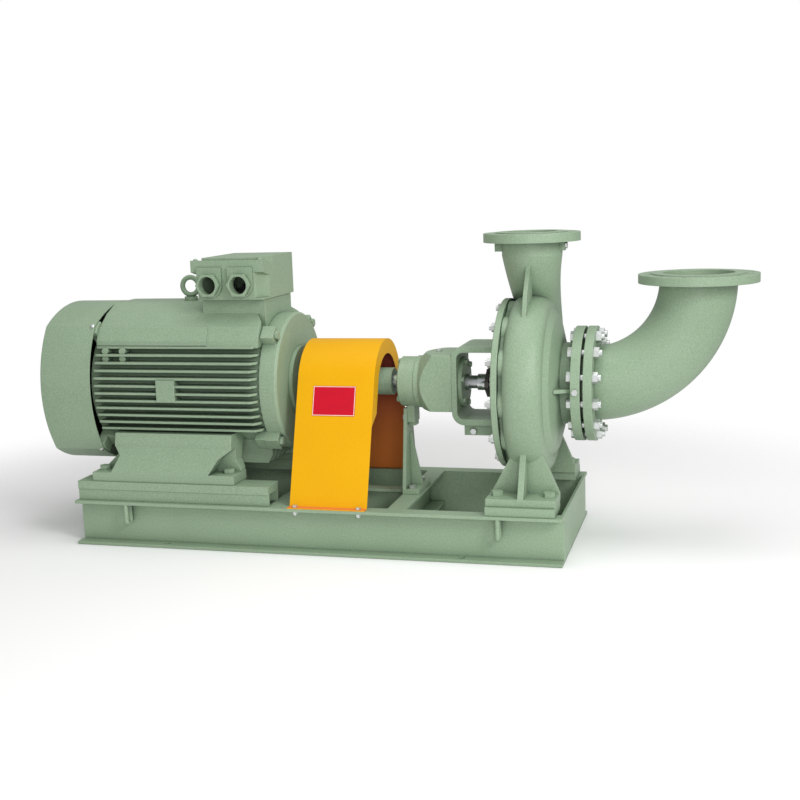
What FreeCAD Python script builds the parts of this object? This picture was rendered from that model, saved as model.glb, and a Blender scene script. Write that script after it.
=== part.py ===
"""Horizontal end-suction circulating pump with its motor, coupling and guard on a steel base.

Millimetres. +X runs along the shaft from the motor to the pump's suction, +Y away from the
nameplate side and +Z up. The origin is the centre of the base's underside.
"""
import FreeCAD, Part
import math
import os

V = FreeCAD.Vector

# Heights of the shaft line
BASE_HEIGHT = 140.0
PUMP_PAD_THICKNESS = 25.0
PUMP_SHAFT_RISE = 315.0
MOTOR_SHAFT_RISE = 280.0
SHAFT_HEIGHT = BASE_HEIGHT + PUMP_PAD_THICKNESS + PUMP_SHAFT_RISE
RAIL_HEIGHT = SHAFT_HEIGHT - MOTOR_SHAFT_RISE - BASE_HEIGHT

# Clearances
RUNNING_CLEARANCE = 0.05
BOLT_CLEARANCE = 1.0
THREAD_CLEARANCE = 0.1

# Base of channels
BASE_LENGTH = 1520.0
BASE_WIDTH = 590.0
BEAM_FLANGE = 49.0
BEAM_FLANGE_THICKNESS = 9.0
BEAM_WEB = 6.0
END_PLATE = 8.0
ANCHOR_SPACING_X = 930.0
ANCHOR_EDGE = 23.0
ANCHOR_HOLE_RADIUS = 11.0
CROSS_DEPTH = 110.0
CROSS_WIDTH = 56.0
CROSS_FLANGE = 8.0
CROSS_WEB = 6.0
MOTOR_CROSS_X = -70.0
PUMP_CROSS_X = 240.0
TIE_WIDTH = 44.0
STAPLE_X = (-590.0, 575.0)
STAPLE_BAR_RADIUS = 7.0
STAPLE_PITCH = 27.0
STAPLE_DROP = 62.0

# Motor rails and feet
RAIL_START_X = -753.0
RAIL_END_X = -120.0
RAIL_OUTSIDE_Y = 280.0
RAIL_WIDTH = 86.0
RAIL_PLATE = 25.0
RAIL_WALL = 8.0
RAIL_LIP = 3.0
MOTOR_SHOULDER_X = -74.0
MOTOR_FOOT_DISTANCE = 190.0
MOTOR_FOOT_PITCH_X = 419.0
MOTOR_FOOT_PITCH_Y = 457.0
MOTOR_FOOT_LENGTH = 471.0
MOTOR_FOOT_END = 32.0
MOTOR_FOOT_OUTSIDE_Y = 274.0
MOTOR_FOOT_INSIDE_Y = 172.0
MOTOR_FOOT_PLATE = 28.0
MOTOR_FOOT_TOP_Z = 303.0
FOOT_UPRIGHT_SETBACK = 54.0
FOOT_UPRIGHT_END = 18.0
FOOT_LEAN = 36.0
MOTOR_BOLT_RADIUS = 10.0
FOOT_POCKET_DEPTH = 70.0

# Motor frame
FRAME_START_X = -692.0
FRAME_END_X = -158.0
FRAME_BORE = 188.0
FRAME_RADIUS = 208.0
FIN_COUNT = 12
FIN_PITCH = 23.05
FIN_THICKNESS = 7.0
FIN_TIP_RADIUS = 247.0
FIN_CENTRE_RISE = 3.0
FIN_END_X = -163.0
FIN_END_CHAMFER = 14.0
LOWER_FIN_PITCH = 38.0
LOWER_FIN_COUNT = 7
LOWER_FIN_TIP = 244.0
HOOD_HEIGHT = 255.0
HOOD_TOP_END_X = -183.0
HOOD_SIDE_END_X = -160.0
HOOD_WALL = 10.0
HOOD_FOOT_Y = 207.0
HOOD_SHOULDER_Y = 203.0
HOOD_SHOULDER_RISE = 150.0
HOOD_CHAMFER_Y = 181.0
HOOD_CHAMFER_RISE = 190.0
HOOD_SLOPE_Y = 131.0
HOOD_SLOPE_RISE = 226.0
HOOD_FLAT_Y = 66.0
HOOD_SLANT_Y = 165.0
PANEL_THICKNESS = 6.0
SIDE_PAD_X0 = -480.0
SIDE_PAD_X1 = -420.0
SIDE_PAD_BELOW = 33.0
SIDE_PAD_ABOVE = 34.0
SIDE_PAD_RISE = 4.0
FIN_BOSSES_X = (-661.0, -603.0)
FIN_BOSS_RADIUS = 10.5
FIN_BOSS_Y = 218.0
FIN_BOSS_LENGTH = 60.0
FRAME_PAD_BEVEL = 12.0
FRAME_PAD_STEP = 8.0
FRAME_PAD_TOP_Z = 345.0
PANEL_END_X = -326.0
PANEL_RISE = 5.0
FRAME_PAD_INSIDE_Y = 130.0
PEDESTAL_X0 = -363.0
PEDESTAL_X1 = -158.0
PEDESTAL_Y0 = -130.0
PEDESTAL_Y1 = 95.0
DUCT_Y0 = -10.0
DUCT_Y1 = 60.0
LUG_ANGLES = (45.0, 135.0, 225.0, 315.0)
LUG_RADIUS = 242.0
LUG_WIDTH = 46.0
LUG_LENGTH = 34.0
LUG_BOLT_CIRCLE = 230.0
SHIELD_BOLT_RADIUS = 8.0
SHIELD_LUG = 41.0
FAN_LUG = 22.0

# Terminal box
BOX_START_X = -362.0
BOX_END_X = -149.0
BOX_FRONT_Y = -160.0
BOX_REAR_Y = 100.0
BOX_FLOOR_Z = 750.0
BOX_SPLIT_FRONT_Z = 849.0
BOX_SPLIT_REAR_Z = 784.0
BOX_TOP_Z = 877.0
BOX_WALL = 8.0
LID_RIM = 21.0
BOX_EAR = 15.0
BOX_EAR_X = -383.0
BOX_EAR_WIDTH = 32.0
BOX_LIP = 5.0
BOX_CORNER_X = 29.0
BOX_CORNER_Y = 52.0
LID_CORNER_Y = 87.0
GLAND_PAD_RADIUS = 40.0
GLAND_PAD = 7.0
GLAND_X = (-322.0, -221.5)
GLAND_Z = 795.0
GLAND_BORE = 27.0
GLAND_ACROSS_FLATS = 66.0
GLAND_HEXAGON = 12.0
GLAND_LENGTH = 25.0
EYE_X = -460.0
EYE_RING_RADIUS = 27.5
EYE_BAR_RADIUS = 8.0
EYE_SHANK_RADIUS = 12.0
LID_SCREW_X = (-371.0, -162.0)
LID_SCREW_Y = (-147.0, 87.0)
LID_POST_RADIUS = 15.0
LID_COUNTERBORE = 9.5
LID_STEP = 5.0
GLAND_SHANK = 5.0

# Motor ends, bearings and rotor
SHIELD_RADIUS = 215.0
SHIELD_DEPTH = 55.0
FAN_SHIELD_RADIUS = 205.0
CAP_RADIUS = 110.0
MOTOR_CAP_BORE = 43.0
MOTOR_BEARING_OUTER = 90.0
MOTOR_BEARING_INNER = 42.5
MOTOR_BEARING_WIDTH = 41.0
MOTOR_BEARING_RACE = 11.0
DRIVE_BEARING_X = -148.0
FAN_BEARING_X = -741.0
ROLLER_COUNT = 10
ROTOR_BORE = 55.0
FAN_SEAT_RADIUS = 30.0
ROTOR_RADIUS = 129.0
AIR_GAP = 1.5
CORE_START_X = -600.0
CORE_END_X = -260.0
WINDING_LENGTH = 52.0
END_RING_LENGTH = 26.0
END_RING_INNER = 94.0
END_RING_OUTER = 124.0
MOTOR_SHAFT_RADIUS = 37.5
MOTOR_SHAFT_LENGTH = 140.0
MOTOR_SHAFT_FAN_X = -842.0
FAN_RADIUS = 205.0
FAN_BLADES = 8
FAN_BLADE_ROOT = 44.0
FAN_BLADE_TIP_WIDTH = 30.0
FAN_BLADE_ROOT_WIDTH = 42.0
FAN_BLADE_THICKNESS = 5.0
FAN_DISC_SETBACK = 38.0
FAN_DISC = 5.0
COWL_START_X = -872.0
COWL_END_X = -699.0
COWL_HALF_WIDTH = 259.0
COWL_HALF_HEIGHT = 255.0
COWL_CREASE_Y = 200.0
COWL_CREASE_Z = 195.0
COWL_EDGE = 5.0
COWL_SHEET = 3.0
GRILLE_SLOT = 14.0
GRILLE_SPOKE = 12.0
GRILLE_FIRST = 70.0
GRILLE_PITCH = 25.0
GRILLE_SLOTS = 6
GRILLE_SPOKE_ANGLES = (0, 60, 120)

# Coupling
MOTOR_HUB_START_X = -60.0
COUPLING_FACE_X = 78.0
COUPLING_GAP = 4.0
COUPLING_DISC_RADIUS = 100.0
COUPLING_DISC = 42.0
MOTOR_HUB_RADIUS = 60.0
PUMP_HUB_RADIUS = 42.0
PUMP_HUB_END_X = 206.0
PIN_COUNT = 8
PIN_CIRCLE = 75.0
PIN_RADIUS = 8.0
BUSH_RADIUS = 14.0

# Guard
GUARD_START_X = -58.0
GUARD_END_X = 183.0
GUARD_CROWN_RADIUS = 152.0
GUARD_CROWN_Z = 460.0
GUARD_FOOT_INSET = 25.0
GUARD_FLANGE_INSET = 1.0
GUARD_SHEET = 3.0
GUARD_LIP = 46.0
GUARD_LIP_END_Z = 347.0
GUARD_BOLT_EDGE = 13.0
GUARD_BOLT_INSET = 22.0
GUARD_BOLT_RADIUS = 5.0

# Pump: standard centre distances
PUMP_CENTRE_X = 638.7
SUCTION_FACE_DISTANCE = 160.0
DISCHARGE_RISE = 450.0
PUMP_FOOT_PITCH_Y = 450.0
PUMP_FOOT_PITCH_X = 150.0
PUMP_FOOT_LENGTH = 200.0
PUMP_FOOT_WIDTH = 100.0
PUMP_FOOT_PLATE = 22.0
PUMP_FOOT_WEB_OUTSIDE_Y = 186.0
PUMP_FOOT_WEB_INSIDE_Y = 168.0
PUMP_FOOT_RIB = 17.0
PUMP_FOOT_WEB_TOP = 300.0
PUMP_PAD_INSET = 8.0
PUMP_BOLT_RADIUS = 10.0

# Flanges
SUCTION_BORE = 100.0
SUCTION_FLANGE_RADIUS = 170.0
SUCTION_BOLT_CIRCLE = 147.5
SUCTION_BOLTS = 12
SUCTION_FLANGE = 30.0
SUCTION_RAISED_RADIUS = 134.0
RAISED_FACE = 3.0
DISCHARGE_BORE = 75.0
DISCHARGE_FLANGE_RADIUS = 142.5
DISCHARGE_BOLT_CIRCLE = 120.0
DISCHARGE_BOLTS = 8
DISCHARGE_FLANGE = 29.0
DISCHARGE_RAISED_RADIUS = 106.0
FLANGE_HOLE_RADIUS = 11.0
FLANGE_BOLT_RADIUS = 10.0

# Casing
CASING_WALL = 13.5
COVER_JOINT_X = 572.0
COVER_THICKNESS = 18.0
CASING_GASKET = 1.5
COVER_RADIUS = 253.0
COVER_BOLTS = 12
COVER_BOLT_CIRCLE = 228.0
COVER_BOLT_PHASE = 7.0
COVER_STUD_RADIUS = 8.0
COVER_NUT = 13.0
COVER_STUD_END = 20.0
CASING_FLANGE = 26.0
CASING_FLANGE_RADIUS = 234.0
CASING_LOBE_RADIUS = 60.0
CASING_LOBE_REACH = 248.5
CASING_SPIGOT_RADIUS = 212.0
VOLUTE_HALF_WIDTH = 58.0
VOLUTE_ROOT = 165.0
VOLUTE_CREST_START = 263.0
VOLUTE_CREST_GROWTH = 38.0
VOLUTE_START_ANGLE = -30.0
VOLUTE_END_ANGLE = 280.0
VOLUTE_STATIONS = 9
VOLUTE_SQUARENESS = 2.5
NECK_SQUARENESS = 2.25
CASING_BODY_RADIUS = 232.0
CASING_BODY_PROFILE = ((690.0, CASING_BODY_RADIUS), (712.0, 200.0), (725.0, 150.0))
CASING_THROAT_X = 733.0
CASING_THROAT_WALL = 21.0
DISCHARGE_LUG_HALF_WIDTH = 19.0
DISCHARGE_LUG_DEPTH = 28.0
NECK_RIB_PROFILE = ((-44.0, 834.0), (-74.0, 834.0), (-140.0, 750.0), (-163.0, 690.0), (-170.0, 660.0),
                    (-140.0, 640.0), (-44.0, 650.0))
SIDE_RIB_PROFILE = ((700.0, -110.0), (722.0, -170.0), (768.0, -150.0), (768.0, -110.0))
SIDE_RIB = 10.0
NOZZLE_BEND = ((200.0, 590.0, 28.0, 61.0, 64.0),
               (125.0, 690.0, 42.0, 66.0, 68.0),
               (47.0, 776.0, 36.0, 75.0, 74.0))
NOZZLE_STRAIGHT = 40.0
NECK_RIB = 12.0
DRAIN_PLUG_Z = 194.0
DRAIN_BOSS_RADIUS = 15.0

# Impeller and pump shaft
IMPELLER_RADIUS = 200.0
IMPELLER_EYE = 92.0
IMPELLER_OUTLET = 32.0
SHROUD = 6.0
VANE_COUNT = 6
VANE_THICKNESS = 7.0
VANE_WRAP = 110.0
PUMP_SHAFT_START_X = 108.0
PUMP_COUPLING_SEAT = 21.0
PUMP_BEARING_BORE = 25.0
PUMP_BEARING_OUTER = 55.0
PUMP_BEARING_WIDTH = 27.0
PUMP_BEARING_RACE = 7.0
PUMP_DRIVE_BEARING_X = 272.0
PUMP_INNER_BEARING_X = 402.0
PUMP_SHAFT_RADIUS = 20.0
SLEEVE_RADIUS = 25.0
SLEEVE_START_X = 470.0
SLEEVE_END_X = 592.0
HUB_RADIUS = 34.0
HUB_END_X = 655.0
NUT_THREAD_RADIUS = 14.0
PUMP_SHAFT_END_X = 676.0
WEAR_RING_THICKNESS = 8.0
WEAR_RING_END_X = 716.0
EYE_END_X = 713.0
PACKING = 10.0
PACKING_RINGS = 4
CHAMBER_RADIUS = 207.0
STUFFING_BOX_RADIUS = 62.0
STUFFING_BOX_BORE = 36.0
STUFFING_BOX_START_X = 516.0
GLAND_FACE_X = 500.0
GLAND_STUD_END = 14.0
GLAND_NUT = 8.0
GLAND_STUD_RADIUS = 6.0

# Bearing bracket
COVER_END_X = 232.0
NECK_START_X = 254.0
NECK_RADIUS = 77.0
HOUSING_START_X = 284.0
HOUSING_HALF_WIDTH = 90.0
HOUSING_BOTTOM = -78.0
HOUSING_TOP = 93.0
YOKE_START_X = 405.0
YOKE_WALL = 16.0
YOKE_TOP = 119.0
YOKE_BOTTOM = -118.0
YOKE_ARM = 18.0
YOKE_HALF_WIDTH = 88.0
YOKE_CORNER = 38.0
BRACKET_FLANGE = 14.0
BRACKET_FLANGE_RADIUS = 150.0
BRACKET_BOLT_CIRCLE = 137.0
BRACKET_BOLT_STEP = 24.0
BRACKET_STUD_RADIUS = 6.0
BEARING_COVER_RADIUS = 77.0
BEARING_COVER_BOLTS = 6
BEARING_COVER_CIRCLE = 67.0
DRAIN_LUG_X0 = 436.0
DRAIN_LUG_Z = 327.0
DRAIN_LUG_HALF_Y = 60.0
BEARING_BOLT_RADIUS = 5.0
COVER_SPIGOT = 4.5
PLUG_RADIUS = 7.0
GLAND_STUD_PITCH = 43.0

# Support foot
FOOT_PLATE_X = 240.0
FOOT_PLATE = 10.0
FOOT_BASE_LENGTH = 52.0
FOOT_BASE = 15.0
FOOT_TOP_HALF = 30.0
FOOT_BOTTOM_HALF = 75.0
FOOT_LUG_BOTTOM = 345.0
FOOT_LUG_THICKNESS = 24.0
FOOT_BOLT_Y = 56.0
FOOT_BOLT_INSET = 17.0
FOOT_BOLT_RADIUS = 7.0

# Suction elbow
ELBOW_PIPE_RADIUS = 109.5
ELBOW_WALL = 8.0
ELBOW_BEND = 305.0
ELBOW_START_STUB = 10.0
ELBOW_END_STUB = 19.0
ELBOW_FLANGE = 28.0
GASKET = 3.0


# Values that follow from those above
SUCTION_FACE_X = PUMP_CENTRE_X + SUCTION_FACE_DISTANCE
DISCHARGE_FACE_Z = SHAFT_HEIGHT + DISCHARGE_RISE
BEAM_INSIDE_Y = BASE_WIDTH / 2 - BEAM_FLANGE
ANCHOR_Y = BASE_WIDTH / 2 - ANCHOR_EDGE
GUARD_FOOT_Y = BASE_WIDTH / 2 - GUARD_FOOT_INSET
GUARD_FLANGE_Y = BASE_WIDTH / 2 - GUARD_FLANGE_INSET
GUARD_BOLT_Y = BASE_WIDTH / 2 - GUARD_BOLT_EDGE
RAIL_TOP_Z = BASE_HEIGHT + RAIL_HEIGHT
ELBOW_FACE_X = SUCTION_FACE_X + GASKET
ELBOW_END_X = ELBOW_FACE_X + ELBOW_START_STUB + ELBOW_BEND
ELBOW_TOP_Z = SHAFT_HEIGHT + ELBOW_BEND + ELBOW_END_STUB
COVER_FACE_X = COVER_JOINT_X - COVER_THICKNESS
MOTOR_HOLES_X = (MOTOR_SHOULDER_X - MOTOR_FOOT_DISTANCE - MOTOR_FOOT_PITCH_X,
                 MOTOR_SHOULDER_X - MOTOR_FOOT_DISTANCE)
PUMP_PAD_TOP = BASE_HEIGHT + PUMP_PAD_THICKNESS
PUMP_PAD_OUTSIDE_Y = BASE_WIDTH / 2 - PUMP_PAD_INSET
PUMP_FOOT_X0 = PUMP_CENTRE_X - PUMP_FOOT_LENGTH / 2
PUMP_FOOT_X1 = PUMP_CENTRE_X + PUMP_FOOT_LENGTH / 2
PUMP_FOOT_INSIDE_Y = PUMP_FOOT_PITCH_Y / 2 - PUMP_FOOT_WIDTH / 2
PUMP_FOOT_OUTSIDE_Y = PUMP_FOOT_PITCH_Y / 2 + PUMP_FOOT_WIDTH / 2
PUMP_HOLES_X = (PUMP_CENTRE_X - PUMP_FOOT_PITCH_X / 2, PUMP_CENTRE_X + PUMP_FOOT_PITCH_X / 2)
FOOT_BOLT_X = FOOT_PLATE_X + FOOT_PLATE + FOOT_BOLT_INSET
TOP_FIN_Z = SHAFT_HEIGHT + FIN_CENTRE_RISE + FIN_PITCH * (FIN_COUNT - 1) / 2
MOTOR_FOOT_X1 = MOTOR_HOLES_X[1] + MOTOR_FOOT_END
MOTOR_FOOT_X0 = MOTOR_FOOT_X1 - MOTOR_FOOT_LENGTH
CASING_FACE_X = COVER_JOINT_X + CASING_GASKET


# Shapes
def box(x0, x1, y0, y1, z0, z1):
    return Part.makeBox(x1 - x0, y1 - y0, z1 - z0, V(x0, y0, z0))


def rod(start, direction, radius, length):
    return Part.makeCylinder(radius, length, start, direction)


def x_rod(x0, x1, y, z, radius):
    return rod(V(x0, y, z), V(1, 0, 0), radius, x1 - x0)


def z_rod(x, y, z0, z1, radius):
    return rod(V(x, y, z0), V(0, 0, 1), radius, z1 - z0)


def closed_face(points):
    return Part.Face(Part.makePolygon(points + [points[0]]))


def prism_x(outline, x0, x1):
    """Solid with a constant (y, z) outline from x0 to x1."""
    return closed_face([V(x0, y, z) for y, z in outline]).extrude(V(x1 - x0, 0, 0))


def prism_y(outline, y0, y1):
    """Solid with a constant (x, z) outline from y0 to y1."""
    return closed_face([V(x, y0, z) for x, z in outline]).extrude(V(0, y1 - y0, 0))


def prism_z(outline, z0, z1):
    """Solid with a constant (x, y) outline from z0 to z1."""
    return closed_face([V(x, y, z0) for x, y in outline]).extrude(V(0, 0, z1 - z0))


def turned(outline):
    """Solid turned about the shaft line from an (x, radius) outline."""
    face = closed_face([V(x, 0, SHAFT_HEIGHT + r) for x, r in outline])
    return face.revolve(V(0, 0, SHAFT_HEIGHT), V(1, 0, 0), 360)


def ring(x0, x1, inner, outer):
    return turned([(x0, inner), (x0, outer), (x1, outer), (x1, inner)])


def disc(x0, x1, radius):
    return x_rod(x0, x1, 0, SHAFT_HEIGHT, radius)


def hexagon(start, direction, across_flats, length):
    """Hexagonal bar from start along direction."""
    corner = across_flats / math.sqrt(3)
    outline = [V(corner * math.cos(math.radians(60 * k)),
                 corner * math.sin(math.radians(60 * k)), 0) for k in range(6)]
    bar = closed_face(outline).extrude(V(0, 0, length))
    bar.Placement = FreeCAD.Placement(start, FreeCAD.Rotation(V(0, 0, 1), direction))
    return bar


def joined(shapes):
    whole = shapes[0].fuse(shapes[1:]) if len(shapes) > 1 else shapes[0]
    return whole.removeSplitter()


def cut(shape, tools):
    return shape.cut(tools).removeSplitter()


def mirrored(shape):
    return shape.mirror(V(0, 0, 0), V(0, 1, 0))


def both_sides(shape):
    return [shape, mirrored(shape)]


def on_circle(radius, count, phase=0.0):
    """Places (y, z) round the shaft line, the angle measured from the top towards the front."""
    for k in range(count):
        angle = math.radians(phase + 360.0 * k / count)
        yield -radius * math.sin(angle), SHAFT_HEIGHT + radius * math.cos(angle)


def turned_copy(shape, angle):
    copy = shape.copy()
    copy.rotate(V(0, 0, SHAFT_HEIGHT), V(1, 0, 0), angle)
    return copy


def bolt(seat, direction, radius, grip, head=None, nut=True, tail=None, end=0.5):
    """Hexagon bolt: the head sits on seat, the shank runs along direction through grip.

    A stud is one whose shank starts farther before the seat, at end, than its nut's height, head.
    """
    across = 3.0 * radius
    head = head or 1.3 * radius
    tail = 2.4 * radius if tail is None else tail
    parts = [hexagon(seat - direction * head, direction, across, head),
             rod(seat - direction * end, direction, radius, grip + tail + end)]
    if nut:
        parts.append(hexagon(seat + direction * grip, direction, across, 1.6 * radius))
    return joined(parts)


NODES = {}


def keep(name, *shapes):
    NODES[name] = shapes[0] if len(shapes) == 1 else Part.makeCompound(list(shapes))


# Base
def front_beam():
    inside = -BEAM_INSIDE_Y
    outside = -BASE_WIDTH / 2
    web = inside - BEAM_WEB
    top = BASE_HEIGHT
    t = BEAM_FLANGE_THICKNESS
    outline = [(inside, 0), (outside, 0), (outside, t), (web, t),
               (web, top - t), (outside, top - t), (outside, top), (inside, top)]
    beam = prism_x(outline, -BASE_LENGTH / 2, BASE_LENGTH / 2)
    holes = [z_rod(x, -ANCHOR_Y, -1, t + 1, ANCHOR_HOLE_RADIUS)
             for x in (-ANCHOR_SPACING_X / 2, ANCHOR_SPACING_X / 2)]
    for x in (GUARD_START_X + GUARD_BOLT_INSET, GUARD_END_X - GUARD_BOLT_INSET):
        holes.append(z_rod(x, -GUARD_BOLT_Y, top - t - 1, top + 1, GUARD_BOLT_RADIUS + THREAD_CLEARANCE))
    return cut(beam, holes)


def cross_channel(web_face_x, side):
    """Cross channel with its web face at web_face_x and its flanges towards side (+1 or -1)."""
    bottom = BASE_HEIGHT - CROSS_DEPTH
    web = web_face_x + side * CROSS_WEB
    tip = web_face_x + side * CROSS_WIDTH
    outline = [(web_face_x, bottom), (tip, bottom), (tip, bottom + CROSS_FLANGE),
               (web, bottom + CROSS_FLANGE), (web, BASE_HEIGHT - CROSS_FLANGE),
               (tip, BASE_HEIGHT - CROSS_FLANGE), (tip, BASE_HEIGHT), (web_face_x, BASE_HEIGHT)]
    return prism_y(outline, -BEAM_INSIDE_Y, BEAM_INSIDE_Y)


def centre_tie():
    bottom = BASE_HEIGHT - CROSS_DEPTH
    front = -TIE_WIDTH / 2
    rear = TIE_WIDTH / 2
    web = rear - CROSS_WEB
    outline = [(rear, bottom), (front, bottom), (front, bottom + CROSS_FLANGE),
               (web, bottom + CROSS_FLANGE), (web, BASE_HEIGHT - CROSS_FLANGE),
               (front, BASE_HEIGHT - CROSS_FLANGE), (front, BASE_HEIGHT), (rear, BASE_HEIGHT)]
    return prism_x(outline, MOTOR_CROSS_X, PUMP_CROSS_X)


def lifting_staple(x):
    """Round bar bent to a U under the top flange, one leg at the web and one at the flange's edge."""
    half = STAPLE_PITCH / 2
    top = BASE_HEIGHT - BEAM_FLANGE_THICKNESS
    bend_z = top - STAPLE_DROP + half
    y = -(BEAM_INSIDE_Y + BEAM_WEB + STAPLE_BAR_RADIUS + 1 + half)
    inner_leg = Part.makeLine(V(x, y + half, top), V(x, y + half, bend_z))
    bend = Part.Arc(V(x, y + half, bend_z), V(x, y, bend_z - half), V(x, y - half, bend_z)).toShape()
    outer_leg = Part.makeLine(V(x, y - half, bend_z), V(x, y - half, top))
    section = Part.Wire(Part.makeCircle(STAPLE_BAR_RADIUS, V(x, y + half, top), V(0, 0, -1)))
    return Part.Wire([inner_leg, bend, outer_leg]).makePipeShell([section], True, False)


def build_base():
    beam = front_beam()
    keep("beam_front", beam)
    keep("beam_rear", mirrored(beam))
    plate = box(BASE_LENGTH / 2 - END_PLATE, BASE_LENGTH / 2, -BEAM_INSIDE_Y, BEAM_INSIDE_Y, 0, BASE_HEIGHT)
    keep("end_plates", plate, plate.mirror(V(0, 0, 0), V(1, 0, 0)))
    keep("cross_channel_motor_side", cross_channel(MOTOR_CROSS_X, -1))
    foot_holes = [z_rod(FOOT_BOLT_X, y, BASE_HEIGHT - CROSS_FLANGE - 1, BASE_HEIGHT + 1,
                        FOOT_BOLT_RADIUS + BOLT_CLEARANCE) for y in (-FOOT_BOLT_Y, FOOT_BOLT_Y)]
    keep("cross_channel_pump_side", cut(cross_channel(PUMP_CROSS_X, 1), foot_holes))
    keep("centre_tie", centre_tie())
    staples = [lifting_staple(x) for x in STAPLE_X]
    keep("lifting_staples", *(staples + [mirrored(s) for s in staples]))
    pad = box(PUMP_FOOT_X0, PUMP_FOOT_X1, -PUMP_PAD_OUTSIDE_Y, -PUMP_FOOT_INSIDE_Y,
              BASE_HEIGHT, PUMP_PAD_TOP)
    pad = cut(pad, [z_rod(x, -PUMP_FOOT_PITCH_Y / 2, BASE_HEIGHT - 1, PUMP_PAD_TOP + 1,
                          PUMP_BOLT_RADIUS + THREAD_CLEARANCE) for x in PUMP_HOLES_X])
    keep("pump_pads", *both_sides(pad))


# Motor rails and feet
def front_rail():
    front = -RAIL_OUTSIDE_Y
    rear = front + RAIL_WIDTH
    plate_z = RAIL_TOP_Z - RAIL_PLATE
    plate = box(RAIL_START_X, RAIL_END_X, front, rear, plate_z, RAIL_TOP_Z)
    walls = box(RAIL_START_X, RAIL_END_X, front + RAIL_LIP, rear - RAIL_LIP, BASE_HEIGHT, plate_z)
    hollow = box(RAIL_START_X - 1, RAIL_END_X + 1, front + RAIL_LIP + RAIL_WALL,
                 rear - RAIL_LIP - RAIL_WALL, BASE_HEIGHT - 1, plate_z)
    holes = [z_rod(x, -MOTOR_FOOT_PITCH_Y / 2, plate_z - 1, RAIL_TOP_Z + 1,
                   MOTOR_BOLT_RADIUS + BOLT_CLEARANCE) for x in MOTOR_HOLES_X]
    return cut(joined([plate, walls.cut(hollow)]), holes)


def front_motor_foot():
    """Cast foot: a plate on the rail and an upright with a wedge-shaped bolt pocket at each end."""
    outside = -MOTOR_FOOT_OUTSIDE_Y
    inside = -MOTOR_FOOT_INSIDE_Y
    plate_top = RAIL_TOP_Z + MOTOR_FOOT_PLATE
    top = MOTOR_FOOT_TOP_Z
    x0 = MOTOR_FOOT_X0
    x1 = MOTOR_FOOT_X1
    upright_x0 = FRAME_START_X + FOOT_UPRIGHT_SETBACK
    upright_x1 = x1 - FOOT_UPRIGHT_END
    plate = box(x0, x1, outside, inside, RAIL_TOP_Z, plate_top)
    section = prism_x([(outside + 1, plate_top), (outside + FOOT_LEAN, top), (-FRAME_PAD_INSIDE_Y - 12, top),
                       (inside, plate_top)], x0, x1)
    side = prism_y([(x0 + 8, plate_top), (upright_x0, top - 22), (upright_x0, top), (upright_x1, top),
                    (upright_x1, top - 40), (x1 - 3, plate_top + 8), (x1 - 3, plate_top)], outside, 0)
    fan_hole, drive_hole = MOTOR_HOLES_X
    pocket_y = outside + FOOT_POCKET_DEPTH
    pockets = [
        prism_y([(fan_hole + 42, plate_top), (fan_hole + 65, top - 25), (fan_hole + 46, top + 1),
                 (x0 - 1, top + 1),
                 (x0 - 1, plate_top)], outside - 1, pocket_y),
        prism_y([(drive_hole - 51, plate_top), (drive_hole - 26, top - 31), (drive_hole + 19, top + 1),
                 (x1 + 1, top + 1), (x1 + 1, plate_top)], outside - 1, pocket_y)]
    upright = section.common(side).cut(pockets)
    holes = [z_rod(x, -MOTOR_FOOT_PITCH_Y / 2, RAIL_TOP_Z - 1, plate_top + 1,
                   MOTOR_BOLT_RADIUS + BOLT_CLEARANCE) for x in MOTOR_HOLES_X]
    return cut(joined([plate, upright]), holes)


def build_motor_supports():
    rail = front_rail()
    keep("motor_rail_front", rail)
    keep("motor_rail_rear", mirrored(rail))
    foot = front_motor_foot()
    keep("motor_foot_front", foot)
    keep("motor_foot_rear", mirrored(foot))
    bolts = []
    for x in MOTOR_HOLES_X:
        seat = V(x, -MOTOR_FOOT_PITCH_Y / 2, RAIL_TOP_Z + MOTOR_FOOT_PLATE)
        bolts += both_sides(bolt(seat, V(0, 0, -1), MOTOR_BOLT_RADIUS, MOTOR_FOOT_PLATE + RAIL_PLATE))
    keep("motor_foot_bolts", *bolts)


# Motor frame
def fin(z):
    """One horizontal cooling fin on the front, chamfered at the drive end."""
    height = z - SHAFT_HEIGHT
    tip = -math.sqrt(FIN_TIP_RADIUS ** 2 - height ** 2)
    root_radius = (FRAME_BORE + FRAME_RADIUS) / 2 + FIN_THICKNESS / 2
    root = -math.sqrt(root_radius ** 2 - height ** 2)
    outline = [(FRAME_START_X, root), (FRAME_START_X, tip), (FIN_END_X - FIN_END_CHAMFER, tip),
               (FIN_END_X, tip + 1.5 * FIN_END_CHAMFER), (FIN_END_X, root)]
    return prism_z(outline, z - FIN_THICKNESS / 2, z + FIN_THICKNESS / 2)


def lower_fin(y):
    """One upright fin under the barrel."""
    root_radius = (FRAME_BORE + FRAME_RADIUS) / 2
    root = SHAFT_HEIGHT - math.sqrt(root_radius ** 2 - y ** 2)
    tip = SHAFT_HEIGHT - LOWER_FIN_TIP
    outline = [(FRAME_START_X, root), (FRAME_START_X, tip), (FIN_END_X - FIN_END_CHAMFER, tip),
               (FIN_END_X, tip + 2 * FIN_END_CHAMFER), (FIN_END_X, root)]
    return prism_y(outline, y - FIN_THICKNESS / 2, y + FIN_THICKNESS / 2)


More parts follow.
